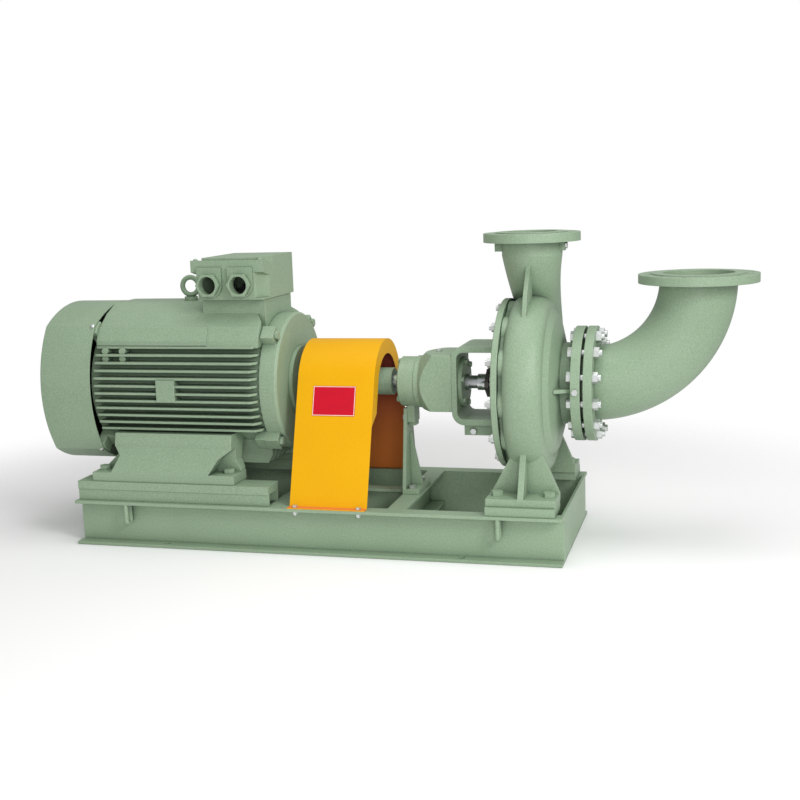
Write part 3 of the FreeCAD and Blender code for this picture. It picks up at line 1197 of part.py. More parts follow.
def pump_foot():
    """Front foot: plate on the pad, a web along the shaft line and a rib across it."""
    plate_top = PUMP_PAD_TOP + PUMP_FOOT_PLATE
    outside = -PUMP_FOOT_OUTSIDE_Y
    inside = -PUMP_FOOT_INSIDE_Y
    plate = box(PUMP_FOOT_X0, PUMP_FOOT_X1, outside, inside, PUMP_PAD_TOP, plate_top)
    web_y0 = -PUMP_FOOT_WEB_OUTSIDE_Y
    web_y1 = -PUMP_FOOT_WEB_INSIDE_Y
    web = prism_y([(PUMP_FOOT_X0 + 2, plate_top), (PUMP_CENTRE_X - 36, PUMP_FOOT_WEB_TOP),
                   (PUMP_CENTRE_X + 52, PUMP_FOOT_WEB_TOP), (PUMP_FOOT_X1, plate_top)],
                  web_y0, web_y1)
    web_base = box(PUMP_FOOT_X0, PUMP_FOOT_X1, web_y0, web_y1, PUMP_PAD_TOP, plate_top)
    half = PUMP_FOOT_RIB / 2
    rib = prism_x([(-170, plate_top - 1), (outside + 3, plate_top - 1), (-212, 306), (-170, 290)],
                  PUMP_CENTRE_X - half, PUMP_CENTRE_X + half)
    holes = [z_rod(x, -PUMP_FOOT_PITCH_Y / 2, PUMP_PAD_TOP - 1, plate_top + 1,
                   PUMP_BOLT_RADIUS + BOLT_CLEARANCE)
             for x in PUMP_HOLES_X]
    return cut(joined([plate, web, web_base, rib]), holes)


def volute_casing():
    flange_start = CASING_FACE_X
    flange_end = COVER_JOINT_X + CASING_FLANGE
    neck = SUCTION_BORE + CASING_THROAT_WALL
    flange_x = SUCTION_FACE_X - SUCTION_FLANGE
    body = turned([(flange_start, 0), (flange_start, CASING_FLANGE_RADIUS),
                   (flange_end, CASING_FLANGE_RADIUS),
                   (flange_end, CASING_BODY_RADIUS), *CASING_BODY_PROFILE, (CASING_THROAT_X, neck),
                   (flange_x, neck),
                   (flange_x, SUCTION_FLANGE_RADIUS), (SUCTION_FACE_X - RAISED_FACE, SUCTION_FLANGE_RADIUS),
                   (SUCTION_FACE_X - RAISED_FACE, SUCTION_RAISED_RADIUS),
                   (SUCTION_FACE_X, SUCTION_RAISED_RADIUS),
                   (SUCTION_FACE_X, 0)])
    shapes = [body] + volute_space(0)
    for y, z in on_circle(CASING_LOBE_REACH - CASING_LOBE_RADIUS, COVER_BOLTS, COVER_BOLT_PHASE):
        shapes.append(x_rod(flange_start, flange_end, y, z, CASING_LOBE_RADIUS))
    flange_z = DISCHARGE_FACE_Z - DISCHARGE_FLANGE
    shapes.append(z_rod(PUMP_CENTRE_X, 0, flange_z, DISCHARGE_FACE_Z - RAISED_FACE, DISCHARGE_FLANGE_RADIUS))
    shapes.append(z_rod(PUMP_CENTRE_X, 0, flange_z, DISCHARGE_FACE_Z, DISCHARGE_RAISED_RADIUS))
    for x0, x1 in ((PUMP_CENTRE_X - 108, PUMP_CENTRE_X - 70), (PUMP_CENTRE_X + 70, PUMP_CENTRE_X + 98)):
        shapes.append(box(x0, x1, -DISCHARGE_LUG_HALF_WIDTH, DISCHARGE_LUG_HALF_WIDTH,
                          flange_z - DISCHARGE_LUG_DEPTH, flange_z))
    rib = prism_x(NECK_RIB_PROFILE, PUMP_CENTRE_X - NECK_RIB / 2, PUMP_CENTRE_X + NECK_RIB / 2)
    shapes.append(rib)
    shapes.append(z_rod(PUMP_CENTRE_X, 0, DRAIN_PLUG_Z, DRAIN_PLUG_Z + CASING_WALL, DRAIN_BOSS_RADIUS))
    side_rib = prism_z(SIDE_RIB_PROFILE, SHAFT_HEIGHT - SIDE_RIB / 2, SHAFT_HEIGHT + SIDE_RIB / 2)
    shapes += both_sides(side_rib)
    shapes += both_sides(pump_foot())
    whole = shapes[0].fuse(shapes[1:])
    eye_outer = IMPELLER_EYE + SHROUD + WEAR_RING_THICKNESS
    chamber = turned([(flange_start - 1, 0), (flange_start - 1, CASING_SPIGOT_RADIUS),
                      (COVER_JOINT_X + CASING_FLANGE + 2, CASING_SPIGOT_RADIUS),
                      (COVER_JOINT_X + CASING_FLANGE + 2, CHAMBER_RADIUS), (672, CHAMBER_RADIUS),
                      (682, 150), (694, eye_outer + 8), (694, eye_outer), (WEAR_RING_END_X, eye_outer),
                      (WEAR_RING_END_X, IMPELLER_EYE), (730, IMPELLER_EYE), (760, SUCTION_BORE),
                      (SUCTION_FACE_X + 1, SUCTION_BORE), (SUCTION_FACE_X + 1, 0)])
    water = chamber.fuse(volute_space(CASING_WALL))
    tools = []
    for y, z in on_circle(COVER_BOLT_CIRCLE, COVER_BOLTS, COVER_BOLT_PHASE):
        tools.append(x_rod(flange_start - 1, flange_end - 2, y, z, COVER_STUD_RADIUS + THREAD_CLEARANCE))
    for y, z in on_circle(SUCTION_BOLT_CIRCLE, SUCTION_BOLTS, 15):
        tools.append(x_rod(flange_x - 1, SUCTION_FACE_X + 1, y, z, FLANGE_HOLE_RADIUS))
    for k in range(DISCHARGE_BOLTS):
        angle = math.radians(22.5 + 45 * k)
        tools.append(z_rod(PUMP_CENTRE_X + DISCHARGE_BOLT_CIRCLE * math.cos(angle),
                           DISCHARGE_BOLT_CIRCLE * math.sin(angle), flange_z - 1, DISCHARGE_FACE_Z + 1,
                           FLANGE_HOLE_RADIUS))
    tools += [hole for plug, hole in pipe_plugs()[:3]]
    tools.append(disc(COVER_FACE_X - 40, CASING_FACE_X, COVER_RADIUS + 2))
    return whole.cut(tools).cut(water)


def pipe_plug(seat, direction, radius=PLUG_RADIUS, depth=9.0):
    """Plug screwed in along direction, and the hole that takes it."""
    plug = joined([hexagon(seat - direction * 7, direction, 2.4 * radius, 7),
                   rod(seat - direction * 1, direction, radius, depth + 1)])
    hole = rod(seat - direction * 8, direction, radius + THREAD_CLEARANCE, depth + 9)
    return plug, hole


def pipe_plugs():
    """Gauge, vent and drain plugs of the casing first, then the bracket's two."""
    flange_z = DISCHARGE_FACE_Z - DISCHARGE_FLANGE
    rim_x = SUCTION_FACE_X - (SUCTION_FLANGE + RAISED_FACE) / 2
    places = [(V(PUMP_CENTRE_X + 98, 0, flange_z - 13), V(-1, 0, 0)),
              (V(rim_x, -SUCTION_FLANGE_RADIUS, SHAFT_HEIGHT), V(0, 1, 0)),
              (V(PUMP_CENTRE_X, 0, DRAIN_PLUG_Z), V(0, 0, 1)),
              (V(350, 0, SHAFT_HEIGHT + HOUSING_TOP), V(0, 0, -1)),
              (V(DRAIN_LUG_X0 + 28, -DRAIN_LUG_HALF_Y, DRAIN_LUG_Z + 12), V(0, 1, 0))]
    return [pipe_plug(seat, direction) for seat, direction in places]


def bracket_bolt_places():
    """Four studs on each side of the bracket flange, clear of the yoke's arms."""
    for side in (90.0, 270.0):
        for k in (-1.5, -0.5, 0.5, 1.5):
            angle = math.radians(side + k * BRACKET_BOLT_STEP)
            yield -BRACKET_BOLT_CIRCLE * math.sin(angle), SHAFT_HEIGHT + BRACKET_BOLT_CIRCLE * math.cos(angle)


def casing_cover():
    start = COVER_FACE_X
    spigot_end = COVER_JOINT_X + CASING_FLANGE + 2
    plate = turned([(STUFFING_BOX_START_X, STUFFING_BOX_BORE), (STUFFING_BOX_START_X, STUFFING_BOX_RADIUS),
                    (start, STUFFING_BOX_RADIUS), (start, COVER_RADIUS - 2), (start + 2, COVER_RADIUS),
                    (COVER_JOINT_X, COVER_RADIUS), (COVER_JOINT_X, CASING_SPIGOT_RADIUS - RUNNING_CLEARANCE),
                    (spigot_end, CASING_SPIGOT_RADIUS - RUNNING_CLEARANCE), (spigot_end, 45),
                    (spigot_end - 12, 45), (spigot_end - 12, SLEEVE_RADIUS + 0.5),
                    (spigot_end - 22, SLEEVE_RADIUS + 0.5),
                    (spigot_end - 22, STUFFING_BOX_BORE)])
    holes = [x_rod(start - 1, COVER_JOINT_X + 1, y, z, COVER_STUD_RADIUS + BOLT_CLEARANCE / 2)
             for y, z in on_circle(COVER_BOLT_CIRCLE, COVER_BOLTS, COVER_BOLT_PHASE)]
    holes += [x_rod(start - 1, start + 13, y, z, BRACKET_STUD_RADIUS + THREAD_CLEARANCE)
              for y, z in bracket_bolt_places()]
    holes += [x_rod(STUFFING_BOX_START_X - 1, STUFFING_BOX_START_X + 25, y, SHAFT_HEIGHT,
                    GLAND_STUD_RADIUS + THREAD_CLEARANCE)
              for y in (-GLAND_STUD_PITCH - 6, GLAND_STUD_PITCH + 6)]
    return cut(plate, holes)


def stuffing_gland():
    """Oval gland plate with its nose in the box, and the packing rings behind it."""
    nose_end = STUFFING_BOX_START_X + 10
    inner = SLEEVE_RADIUS + RUNNING_CLEARANCE
    outer = STUFFING_BOX_BORE - RUNNING_CLEARANCE
    y = GLAND_STUD_PITCH + 6
    ears = prism_x([(-y - 14, SHAFT_HEIGHT - 9), (-y - 14, SHAFT_HEIGHT + 9), (-22, SHAFT_HEIGHT + 42),
                    (22, SHAFT_HEIGHT + 42), (y + 14, SHAFT_HEIGHT + 9), (y + 14, SHAFT_HEIGHT - 9),
                    (22, SHAFT_HEIGHT - 42), (-22, SHAFT_HEIGHT - 42)], GLAND_FACE_X, GLAND_FACE_X + 12)
    body = joined([ears, ring(GLAND_FACE_X + 10, nose_end, inner, outer)])
    holes = [disc(GLAND_FACE_X - 1, nose_end, inner)]
    holes += [x_rod(GLAND_FACE_X - 1, GLAND_FACE_X + 13, side * y, SHAFT_HEIGHT,
                    GLAND_STUD_RADIUS + BOLT_CLEARANCE / 2)
              for side in (-1, 1)]
    packing = [ring(nose_end + k * PACKING, nose_end + (k + 1) * PACKING, inner, outer)
               for k in range(PACKING_RINGS)]
    return [cut(body, holes)] + packing


def build_casing():
    keep("volute_casing", volute_casing())
    keep("casing_cover", casing_cover())
    eye_ring = IMPELLER_EYE + SHROUD + RUNNING_CLEARANCE
    keep("casing_wear_ring",
         ring(696, WEAR_RING_END_X, eye_ring, eye_ring + WEAR_RING_THICKNESS - RUNNING_CLEARANCE))
    keep("casing_gasket", ring(COVER_JOINT_X, CASING_FACE_X, CASING_SPIGOT_RADIUS,
                               COVER_BOLT_CIRCLE - COVER_STUD_RADIUS - 2))
    keep("stuffing_gland", *stuffing_gland())
    studs = []
    for y, z in on_circle(COVER_BOLT_CIRCLE, COVER_BOLTS, COVER_BOLT_PHASE):
        studs.append(bolt(V(COVER_FACE_X, y, z), V(1, 0, 0), COVER_STUD_RADIUS,
                          COVER_THICKNESS + CASING_GASKET, head=COVER_NUT, nut=False, tail=20,
                          end=COVER_STUD_END))
    keep("cover_studs", *studs)
    studs = []
    for y, z in bracket_bolt_places():
        studs.append(bolt(V(COVER_FACE_X - BRACKET_FLANGE, y, z), V(1, 0, 0), BRACKET_STUD_RADIUS,
                          BRACKET_FLANGE, nut=False, tail=12))
    keep("bracket_studs", *studs)
    studs = []
    for y in (-GLAND_STUD_PITCH - 6, GLAND_STUD_PITCH + 6):
        stud = x_rod(GLAND_FACE_X - GLAND_STUD_END, STUFFING_BOX_START_X + 22, y, SHAFT_HEIGHT,
                     GLAND_STUD_RADIUS)
        nut = hexagon(V(GLAND_FACE_X - GLAND_NUT, y, SHAFT_HEIGHT), V(1, 0, 0), 19, GLAND_NUT)
        studs.append(joined([stud, nut]))
    keep("gland_studs", *studs)
    bolts = []
    for x in PUMP_HOLES_X:
        seat = V(x, -PUMP_FOOT_PITCH_Y / 2, PUMP_PAD_TOP + PUMP_FOOT_PLATE)
        bolts += both_sides(bolt(seat, V(0, 0, -1), PUMP_BOLT_RADIUS, PUMP_FOOT_PLATE, nut=False, tail=24))
    for y in (-FOOT_BOLT_Y, FOOT_BOLT_Y):
        seat = V(FOOT_BOLT_X, y, BASE_HEIGHT + FOOT_BASE)
        bolts.append(bolt(seat, V(0, 0, -1), FOOT_BOLT_RADIUS, FOOT_BASE + CROSS_FLANGE))
    bolts.append(bolt(V(FOOT_PLATE_X, 0, FOOT_LUG_BOTTOM + 22), V(1, 0, 0), FOOT_BOLT_RADIUS, FOOT_PLATE,
                      nut=False, tail=20))
    keep("pump_foot_bolts", *bolts)
    keep("pipe_plugs", *[plug for plug, hole in pipe_plugs()])


# Impeller and pump shaft
def impeller():
    back = PUMP_CENTRE_X - IMPELLER_OUTLET / 2
    front = PUMP_CENTRE_X + IMPELLER_OUTLET / 2
    eye = IMPELLER_EYE
    r = IMPELLER_RADIUS
    t = SHROUD
    hub_plate = turned([(SLEEVE_END_X, PUMP_SHAFT_RADIUS), (SLEEVE_END_X, HUB_RADIUS),
                        (back - t, HUB_RADIUS + 16),
                        (back - t, r), (back, r), (back + 6, 100), (back + 16, HUB_RADIUS + 8),
                        (HUB_END_X, HUB_RADIUS),
                        (HUB_END_X, PUMP_SHAFT_RADIUS)])
    front_plate = turned([(front, r), (front + t, r), (front + t + 8, 140), (front + t + 24, eye + t + 8),
                          (front + t + 34, eye + t), (EYE_END_X, eye + t), (EYE_END_X, eye),
                          (front + t + 28, eye),
                          (front + 18, eye + 14), (front + 8, 140)])
    space = turned([(back - 1, 46), (back - 1, r), (front + 1, r), (front + 10, 140), (front + 20, eye + 14),
                    (front + 20, eye - 22), (HUB_END_X - 3, 50), (HUB_END_X - 3, 30), (back - 1, 30)])
    vanes = []
    steps = 7
    for k in range(VANE_COUNT):
        side = []
        other = []
        for i in range(steps + 1):
            share = i / steps
            radius = 52 + share * (r - 52)
            angle = math.radians(360.0 * k / VANE_COUNT + VANE_WRAP * share ** 0.8)
            half = VANE_THICKNESS / 2 / radius * 1.5
            side.append((radius * math.sin(angle - half), SHAFT_HEIGHT + radius * math.cos(angle - half)))
            other.append((radius * math.sin(angle + half), SHAFT_HEIGHT + radius * math.cos(angle + half)))
        vanes.append(prism_x(side + other[::-1], back - 3, front + 24).common(space))
    return joined([hub_plate, front_plate] + vanes)


def pump_shaft():
    seat = PUMP_BEARING_BORE
    half = PUMP_BEARING_WIDTH / 2
    drive = PUMP_DRIVE_BEARING_X
    inner = PUMP_INNER_BEARING_X
    r = PUMP_SHAFT_RADIUS
    return turned([(PUMP_SHAFT_START_X, 0), (PUMP_SHAFT_START_X, PUMP_COUPLING_SEAT),
                   (COVER_END_X, PUMP_COUPLING_SEAT), (COVER_END_X, seat), (drive + half, seat),
                   (drive + half, 30),
                   (inner - half, 30), (inner - half, seat), (inner + half + 30, seat),
                   (inner + half + 30, r),
                   (HUB_END_X, r), (HUB_END_X, NUT_THREAD_RADIUS), (PUMP_SHAFT_END_X, NUT_THREAD_RADIUS),
                   (PUMP_SHAFT_END_X, 0)])


def build_pump_rotor():
    keep("pump_half_coupling", pump_half_coupling())
    keep("pump_shaft", pump_shaft())
    keep("shaft_sleeve", ring(SLEEVE_START_X, SLEEVE_END_X, PUMP_SHAFT_RADIUS, SLEEVE_RADIUS))
    keep("impeller", impeller())
    nut = hexagon(V(HUB_END_X, 0, SHAFT_HEIGHT), V(1, 0, 0), 50, 20)
    dome = turned([(HUB_END_X + 20, 0), (HUB_END_X + 20, 22), (HUB_END_X + 27, 18), (HUB_END_X + 34, 0)])
    keep("impeller_nut", cut(joined([nut, dome]), [disc(HUB_END_X - 1, PUMP_SHAFT_END_X, NUT_THREAD_RADIUS)]))
    outer_rings = []
    inner_rings = []
    for centre in (PUMP_DRIVE_BEARING_X, PUMP_INNER_BEARING_X):
        outer, inner = bearing_rings(centre - PUMP_BEARING_WIDTH / 2, PUMP_BEARING_BORE, PUMP_BEARING_OUTER,
                                     PUMP_BEARING_WIDTH, PUMP_BEARING_RACE)
        outer_rings.append(outer)
        inner_rings += inner
    keep("pump_bearing_outer_rings", *outer_rings)
    keep("pump_bearing_inner_rings", *inner_rings)


# Bearing bracket
def rounded_frame(x0, x1, bottom, top, corner):
    """Outline with its two left corners rounded, as a solid through the bracket's width."""
    block = box(x0, x1, -YOKE_HALF_WIDTH, YOKE_HALF_WIDTH, bottom, top)
    corners = []
    for z, inward in ((bottom, 1), (top, -1)):
        z_centre = z + inward * corner
        low = min(z, z_centre)
        square = box(x0 - 1, x0 + corner, -YOKE_HALF_WIDTH - 1, YOKE_HALF_WIDTH + 1, low - (inward > 0),
                     low + corner + (inward < 0))
        corners.append(square.cut(rod(V(x0 + corner, -YOKE_HALF_WIDTH - 2, z_centre), V(0, 1, 0), corner,
                                      2 * YOKE_HALF_WIDTH + 4)))
    return block.cut(corners)


def bearing_bracket():
    bottom = SHAFT_HEIGHT + YOKE_BOTTOM
    top = SHAFT_HEIGHT + YOKE_TOP
    end = COVER_FACE_X
    flange_x = end - BRACKET_FLANGE
    frame = rounded_frame(YOKE_START_X, end, bottom, top, YOKE_CORNER)
    flange = disc(flange_x, end, BRACKET_FLANGE_RADIUS)
    cone = turned([(HOUSING_START_X, 0), (HOUSING_START_X, 80), (HOUSING_START_X + 13, 80), (345, 125),
                   (YOKE_START_X, 140), (YOKE_START_X, 0)])
    housing = box(HOUSING_START_X, YOKE_START_X, -HOUSING_HALF_WIDTH, HOUSING_HALF_WIDTH,
                  SHAFT_HEIGHT + HOUSING_BOTTOM, SHAFT_HEIGHT + HOUSING_TOP).common(cone)
    neck = disc(NECK_START_X, HOUSING_START_X + 13, NECK_RADIUS)
    lug_start = FOOT_PLATE_X + FOOT_PLATE
    lug = joined([box(lug_start, lug_start + FOOT_LUG_THICKNESS, -FOOT_TOP_HALF, FOOT_TOP_HALF,
                      FOOT_LUG_BOTTOM + 12, SHAFT_HEIGHT - 60),
                  box(lug_start, lug_start + FOOT_LUG_THICKNESS, -FOOT_TOP_HALF + 12, FOOT_TOP_HALF - 12,
                      FOOT_LUG_BOTTOM, SHAFT_HEIGHT - 60)])
    drain_lug = box(DRAIN_LUG_X0, flange_x + 2, -DRAIN_LUG_HALF_Y, DRAIN_LUG_HALF_Y, DRAIN_LUG_Z, bottom + 3)
    whole = joined([frame, flange, housing, neck, lug, drain_lug])
    window = rounded_frame(YOKE_START_X + YOKE_WALL, flange_x, bottom + YOKE_ARM, top - YOKE_ARM,
                           YOKE_CORNER - 18)
    side_window = joined([window, box(YOKE_START_X + YOKE_WALL + 20, flange_x, -YOKE_HALF_WIDTH - 1,
                                      YOKE_HALF_WIDTH + 1, bottom + YOKE_ARM, top - YOKE_ARM)])
    bearing_end = PUMP_INNER_BEARING_X + PUMP_BEARING_WIDTH / 2
    tools = [side_window, disc(flange_x - 1, end + 1, BRACKET_FLANGE_RADIUS - 50),
             disc(NECK_START_X - 1, YOKE_START_X + YOKE_WALL + 1, PUMP_BEARING_OUTER),
             disc(HOUSING_START_X + 14, PUMP_INNER_BEARING_X - 40, PUMP_BEARING_OUTER + 10)]
    tools += [x_rod(flange_x - 1, end + 1, y, z, BRACKET_STUD_RADIUS + BOLT_CLEARANCE / 2)
              for y, z in bracket_bolt_places()]
    tools += [x_rod(NECK_START_X - 1, NECK_START_X + 19, y, z, BEARING_BOLT_RADIUS + THREAD_CLEARANCE)
              for y, z in on_circle(BEARING_COVER_CIRCLE, BEARING_COVER_BOLTS, 15)]
    tools += [x_rod(YOKE_START_X + YOKE_WALL - 13, YOKE_START_X + YOKE_WALL + 1, y, z,
                    BEARING_BOLT_RADIUS + THREAD_CLEARANCE)
              for y, z in on_circle(BEARING_COVER_CIRCLE, BEARING_COVER_BOLTS, 15)]
    tools.append(x_rod(lug_start - 1, lug_start + 21, 0, FOOT_LUG_BOTTOM + 22,
                       FOOT_BOLT_RADIUS + THREAD_CLEARANCE))
    tools.append(disc(lug_start - 1, NECK_START_X, BEARING_COVER_RADIUS + BOLT_CLEARANCE))
    tools += [hole for plug, hole in pipe_plugs()[3:]]
    return cut(whole, tools)


def bearing_cover(face_x, inward):
    """Bearing cover with its bolts; its spigot points inward, +1 for +X and -1 for -X."""
    bore = PUMP_BEARING_BORE + 1
    thickness = NECK_START_X - COVER_END_X if inward > 0 else 12.0
    back = face_x - inward * thickness
    spigot = face_x + inward * COVER_SPIGOT
    outline = [(back, bore), (back, BEARING_COVER_RADIUS - 3), (back + inward * 3, BEARING_COVER_RADIUS),
               (face_x, BEARING_COVER_RADIUS), (face_x, PUMP_BEARING_OUTER - RUNNING_CLEARANCE),
               (spigot, PUMP_BEARING_OUTER - RUNNING_CLEARANCE), (spigot, PUMP_BEARING_OUTER - 9),
               (face_x, PUMP_BEARING_OUTER - 9), (face_x, bore)]
    places = list(on_circle(BEARING_COVER_CIRCLE, BEARING_COVER_BOLTS, 15))
    holes = [rod(V(back - inward, y, z), V(inward, 0, 0), BEARING_BOLT_RADIUS + BOLT_CLEARANCE / 2,
                 thickness + 2)
             for y, z in places]
    bolts = [bolt(V(back, y, z), V(inward, 0, 0), BEARING_BOLT_RADIUS, thickness, nut=False, tail=11)
             for y, z in places]
    return [cut(turned(outline), holes)] + bolts


def support_foot():
    x0 = FOOT_PLATE_X
    base_top = BASE_HEIGHT + FOOT_BASE
    plate = prism_x([(-FOOT_BOTTOM_HALF, BASE_HEIGHT), (-FOOT_BOTTOM_HALF, base_top), (-FOOT_TOP_HALF, 400),
                     (FOOT_TOP_HALF, 400), (FOOT_BOTTOM_HALF, base_top), (FOOT_BOTTOM_HALF, BASE_HEIGHT)],
                    x0, x0 + FOOT_PLATE)
    foot = box(x0, x0 + FOOT_BASE_LENGTH, -FOOT_BOTTOM_HALF, FOOT_BOTTOM_HALF, BASE_HEIGHT, base_top)
    rib = prism_y([(x0 + FOOT_PLATE - 1, base_top - 1), (x0 + FOOT_PLATE - 1, 320),
                   (x0 + FOOT_PLATE + 4, 320),
                   (x0 + FOOT_BASE_LENGTH - 4, base_top - 1)], -5, 5)
    holes = [z_rod(FOOT_BOLT_X, y, BASE_HEIGHT - 1, base_top + 1, FOOT_BOLT_RADIUS + BOLT_CLEARANCE / 2)
             for y in (-FOOT_BOLT_Y, FOOT_BOLT_Y)]
    holes.append(x_rod(x0 - 1, x0 + FOOT_PLATE + 1, 0, FOOT_LUG_BOTTOM + 22,
                       FOOT_BOLT_RADIUS + BOLT_CLEARANCE / 2))
    return cut(joined([plate, foot, rib]), holes)


def build_bracket():
    keep("bearing_bracket", bearing_bracket())
    keep("drive_bearing_cover", *bearing_cover(NECK_START_X, 1))
    keep("pump_bearing_cover", *bearing_cover(YOKE_START_X + YOKE_WALL, -1))
    keep("support_foot", support_foot())


# Suction elbow
def elbow_body(radius):
    """Bent round bar with a straight stub at each end."""
    bend_x = ELBOW_FACE_X + ELBOW_START_STUB
    bend_z = SHAFT_HEIGHT + ELBOW_BEND
    end = Part.Face(Part.Wire(Part.makeCircle(radius, V(bend_x, 0, SHAFT_HEIGHT), V(1, 0, 0))))
    bend = end.revolve(V(bend_x, 0, bend_z), V(0, -1, 0), 90)
    return [bend, disc(ELBOW_FACE_X, bend_x, radius), z_rod(ELBOW_END_X, 0, bend_z, ELBOW_TOP_Z, radius)]


def suction_elbow():
    """Bent pipe between its two flanges."""
    between = box(ELBOW_FACE_X + ELBOW_FLANGE, ELBOW_END_X + SUCTION_FLANGE_RADIUS, -SUCTION_FLANGE_RADIUS,
                  SUCTION_FLANGE_RADIUS, 0, ELBOW_TOP_Z - ELBOW_FLANGE)
    pipe = joined(elbow_body(ELBOW_PIPE_RADIUS)).cut(joined(elbow_body(ELBOW_PIPE_RADIUS - ELBOW_WALL)))
    return pipe.common(between)


def elbow_flanges():
    """Welded flanges of the bent pipe, both with a raised face."""
    face = ELBOW_FACE_X
    top = ELBOW_TOP_Z
    bore = ELBOW_PIPE_RADIUS - ELBOW_WALL
    pump_side = ring(face + RAISED_FACE, face + ELBOW_FLANGE, bore, SUCTION_FLANGE_RADIUS)
    pump_side = joined([pump_side, ring(face, face + ELBOW_FLANGE, bore, SUCTION_RAISED_RADIUS)])
    inlet = joined([z_rod(ELBOW_END_X, 0, top - ELBOW_FLANGE, top - RAISED_FACE, SUCTION_FLANGE_RADIUS),
                    z_rod(ELBOW_END_X, 0, top - ELBOW_FLANGE, top, SUCTION_RAISED_RADIUS)])
    pump_holes = []
    inlet_holes = [z_rod(ELBOW_END_X, 0, top - ELBOW_FLANGE - 1, top + 1, bore)]
    for y, z in on_circle(SUCTION_BOLT_CIRCLE, SUCTION_BOLTS, 15):
        pump_holes.append(x_rod(face - 1, face + ELBOW_FLANGE + 1, y, z, FLANGE_HOLE_RADIUS))
        inlet_holes.append(z_rod(ELBOW_END_X + z - SHAFT_HEIGHT, y, top - ELBOW_FLANGE - 1, top + 1,
                                 FLANGE_HOLE_RADIUS))
    return [cut(pump_side, pump_holes), cut(inlet, inlet_holes)]


def build_elbow():
    keep("suction_elbow", suction_elbow())
    keep("elbow_flanges", *elbow_flanges())
    face = SUCTION_FACE_X
    keep("suction_gasket", ring(face, face + GASKET, SUCTION_BORE, SUCTION_RAISED_RADIUS))
    grip = SUCTION_FLANGE + GASKET + ELBOW_FLANGE
    bolts = [bolt(V(face - SUCTION_FLANGE, y, z), V(1, 0, 0), FLANGE_BOLT_RADIUS, grip)
             for y, z in on_circle(SUCTION_BOLT_CIRCLE, SUCTION_BOLTS, 15)]
    keep("suction_flange_bolts", *bolts)


build_base()
build_motor_supports()
build_motor_housing()
build_terminal_box()
build_motor_rotor()
build_guard()
build_casing()
build_pump_rotor()
build_bracket()
build_elbow()

os.makedirs("parts", exist_ok=True)
for name, shape in NODES.items():
    shape.exportStep("parts/" + name + ".step")
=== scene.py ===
"""The looks of the circulating pump set: finishes, small fasteners, label plate, light and camera."""
import math

import bmesh
import bpy
from mathutils import Matrix, Vector


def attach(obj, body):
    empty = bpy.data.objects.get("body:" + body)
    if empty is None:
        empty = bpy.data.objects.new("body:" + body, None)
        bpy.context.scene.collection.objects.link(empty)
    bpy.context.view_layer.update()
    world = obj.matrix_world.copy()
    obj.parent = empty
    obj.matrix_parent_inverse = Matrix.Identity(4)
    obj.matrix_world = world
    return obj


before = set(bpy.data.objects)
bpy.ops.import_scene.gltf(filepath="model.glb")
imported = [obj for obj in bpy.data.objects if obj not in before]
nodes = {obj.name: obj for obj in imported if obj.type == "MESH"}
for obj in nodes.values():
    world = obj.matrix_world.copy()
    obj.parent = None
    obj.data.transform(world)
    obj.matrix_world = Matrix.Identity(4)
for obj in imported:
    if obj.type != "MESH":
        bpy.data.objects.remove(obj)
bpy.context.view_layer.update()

SHAFT_HEIGHT = 0.480

# Camera
FOCAL_PIXELS = 1236.8
PHOTO_PIXELS = 800.0
SENSOR = 36.0
CAMERA_PLACE = Vector((1.2303, -3.6345, 1.0796))
CAMERA_YAW = 0.271
CAMERA_PITCH = 0.173
CAMERA_ROLL = -0.033


def photo_camera():
    data = bpy.data.cameras.new("photo_camera")
    data.sensor_width = SENSOR
    data.lens = FOCAL_PIXELS / PHOTO_PIXELS * SENSOR
    data.clip_start = 0.05
    data.clip_end = 100.0
    camera = bpy.data.objects.new("photo_camera", data)
    bpy.context.scene.collection.objects.link(camera)
    turn = Matrix.Rotation(CAMERA_YAW, 4, "Z") @ Matrix.Rotation(math.pi / 2 - CAMERA_PITCH, 4, "X")
    camera.matrix_world = Matrix.Translation(CAMERA_PLACE) @ turn @ Matrix.Rotation(CAMERA_ROLL, 4, "Z")
    bpy.context.scene.camera = camera


def linear(red, green, blue):
    """A colour as it is seen on a screen, from 0 to 255, as the shader's linear colour."""
    shares = [value / 255 for value in (red, green, blue)]
    return tuple(s / 12.92 if s <= 0.04045 else ((s + 0.055) / 1.055) ** 2.4 for s in shares) + (1.0,)


# Finishes
class Number:
    """A number socket of a finish that can be used in sums."""

    def __init__(self, finish, socket):
        self.finish = finish
        self.socket = socket

    def sum(self, operation, *values):
        return self.finish.node("ShaderNodeMath", {"operation": operation}, dict(enumerate(values)))

    def __add__(self, other):
        return self.sum("ADD", self, other)

    __radd__ = __add__

    def __sub__(self, other):
        return self.sum("SUBTRACT", self, other)

    def __rsub__(self, other):
        return self.sum("SUBTRACT", other, self)

    def __mul__(self, other):
        return self.sum("MULTIPLY", self, other)

    __rmul__ = __mul__

    def above(self, low, high):
        """A soft step: 0 below low and 1 above high."""
        return self.finish.node("ShaderNodeMapRange", {"interpolation_type": "SMOOTHSTEP"},
                                {"Value": self, "From Min": low, "From Max": high})


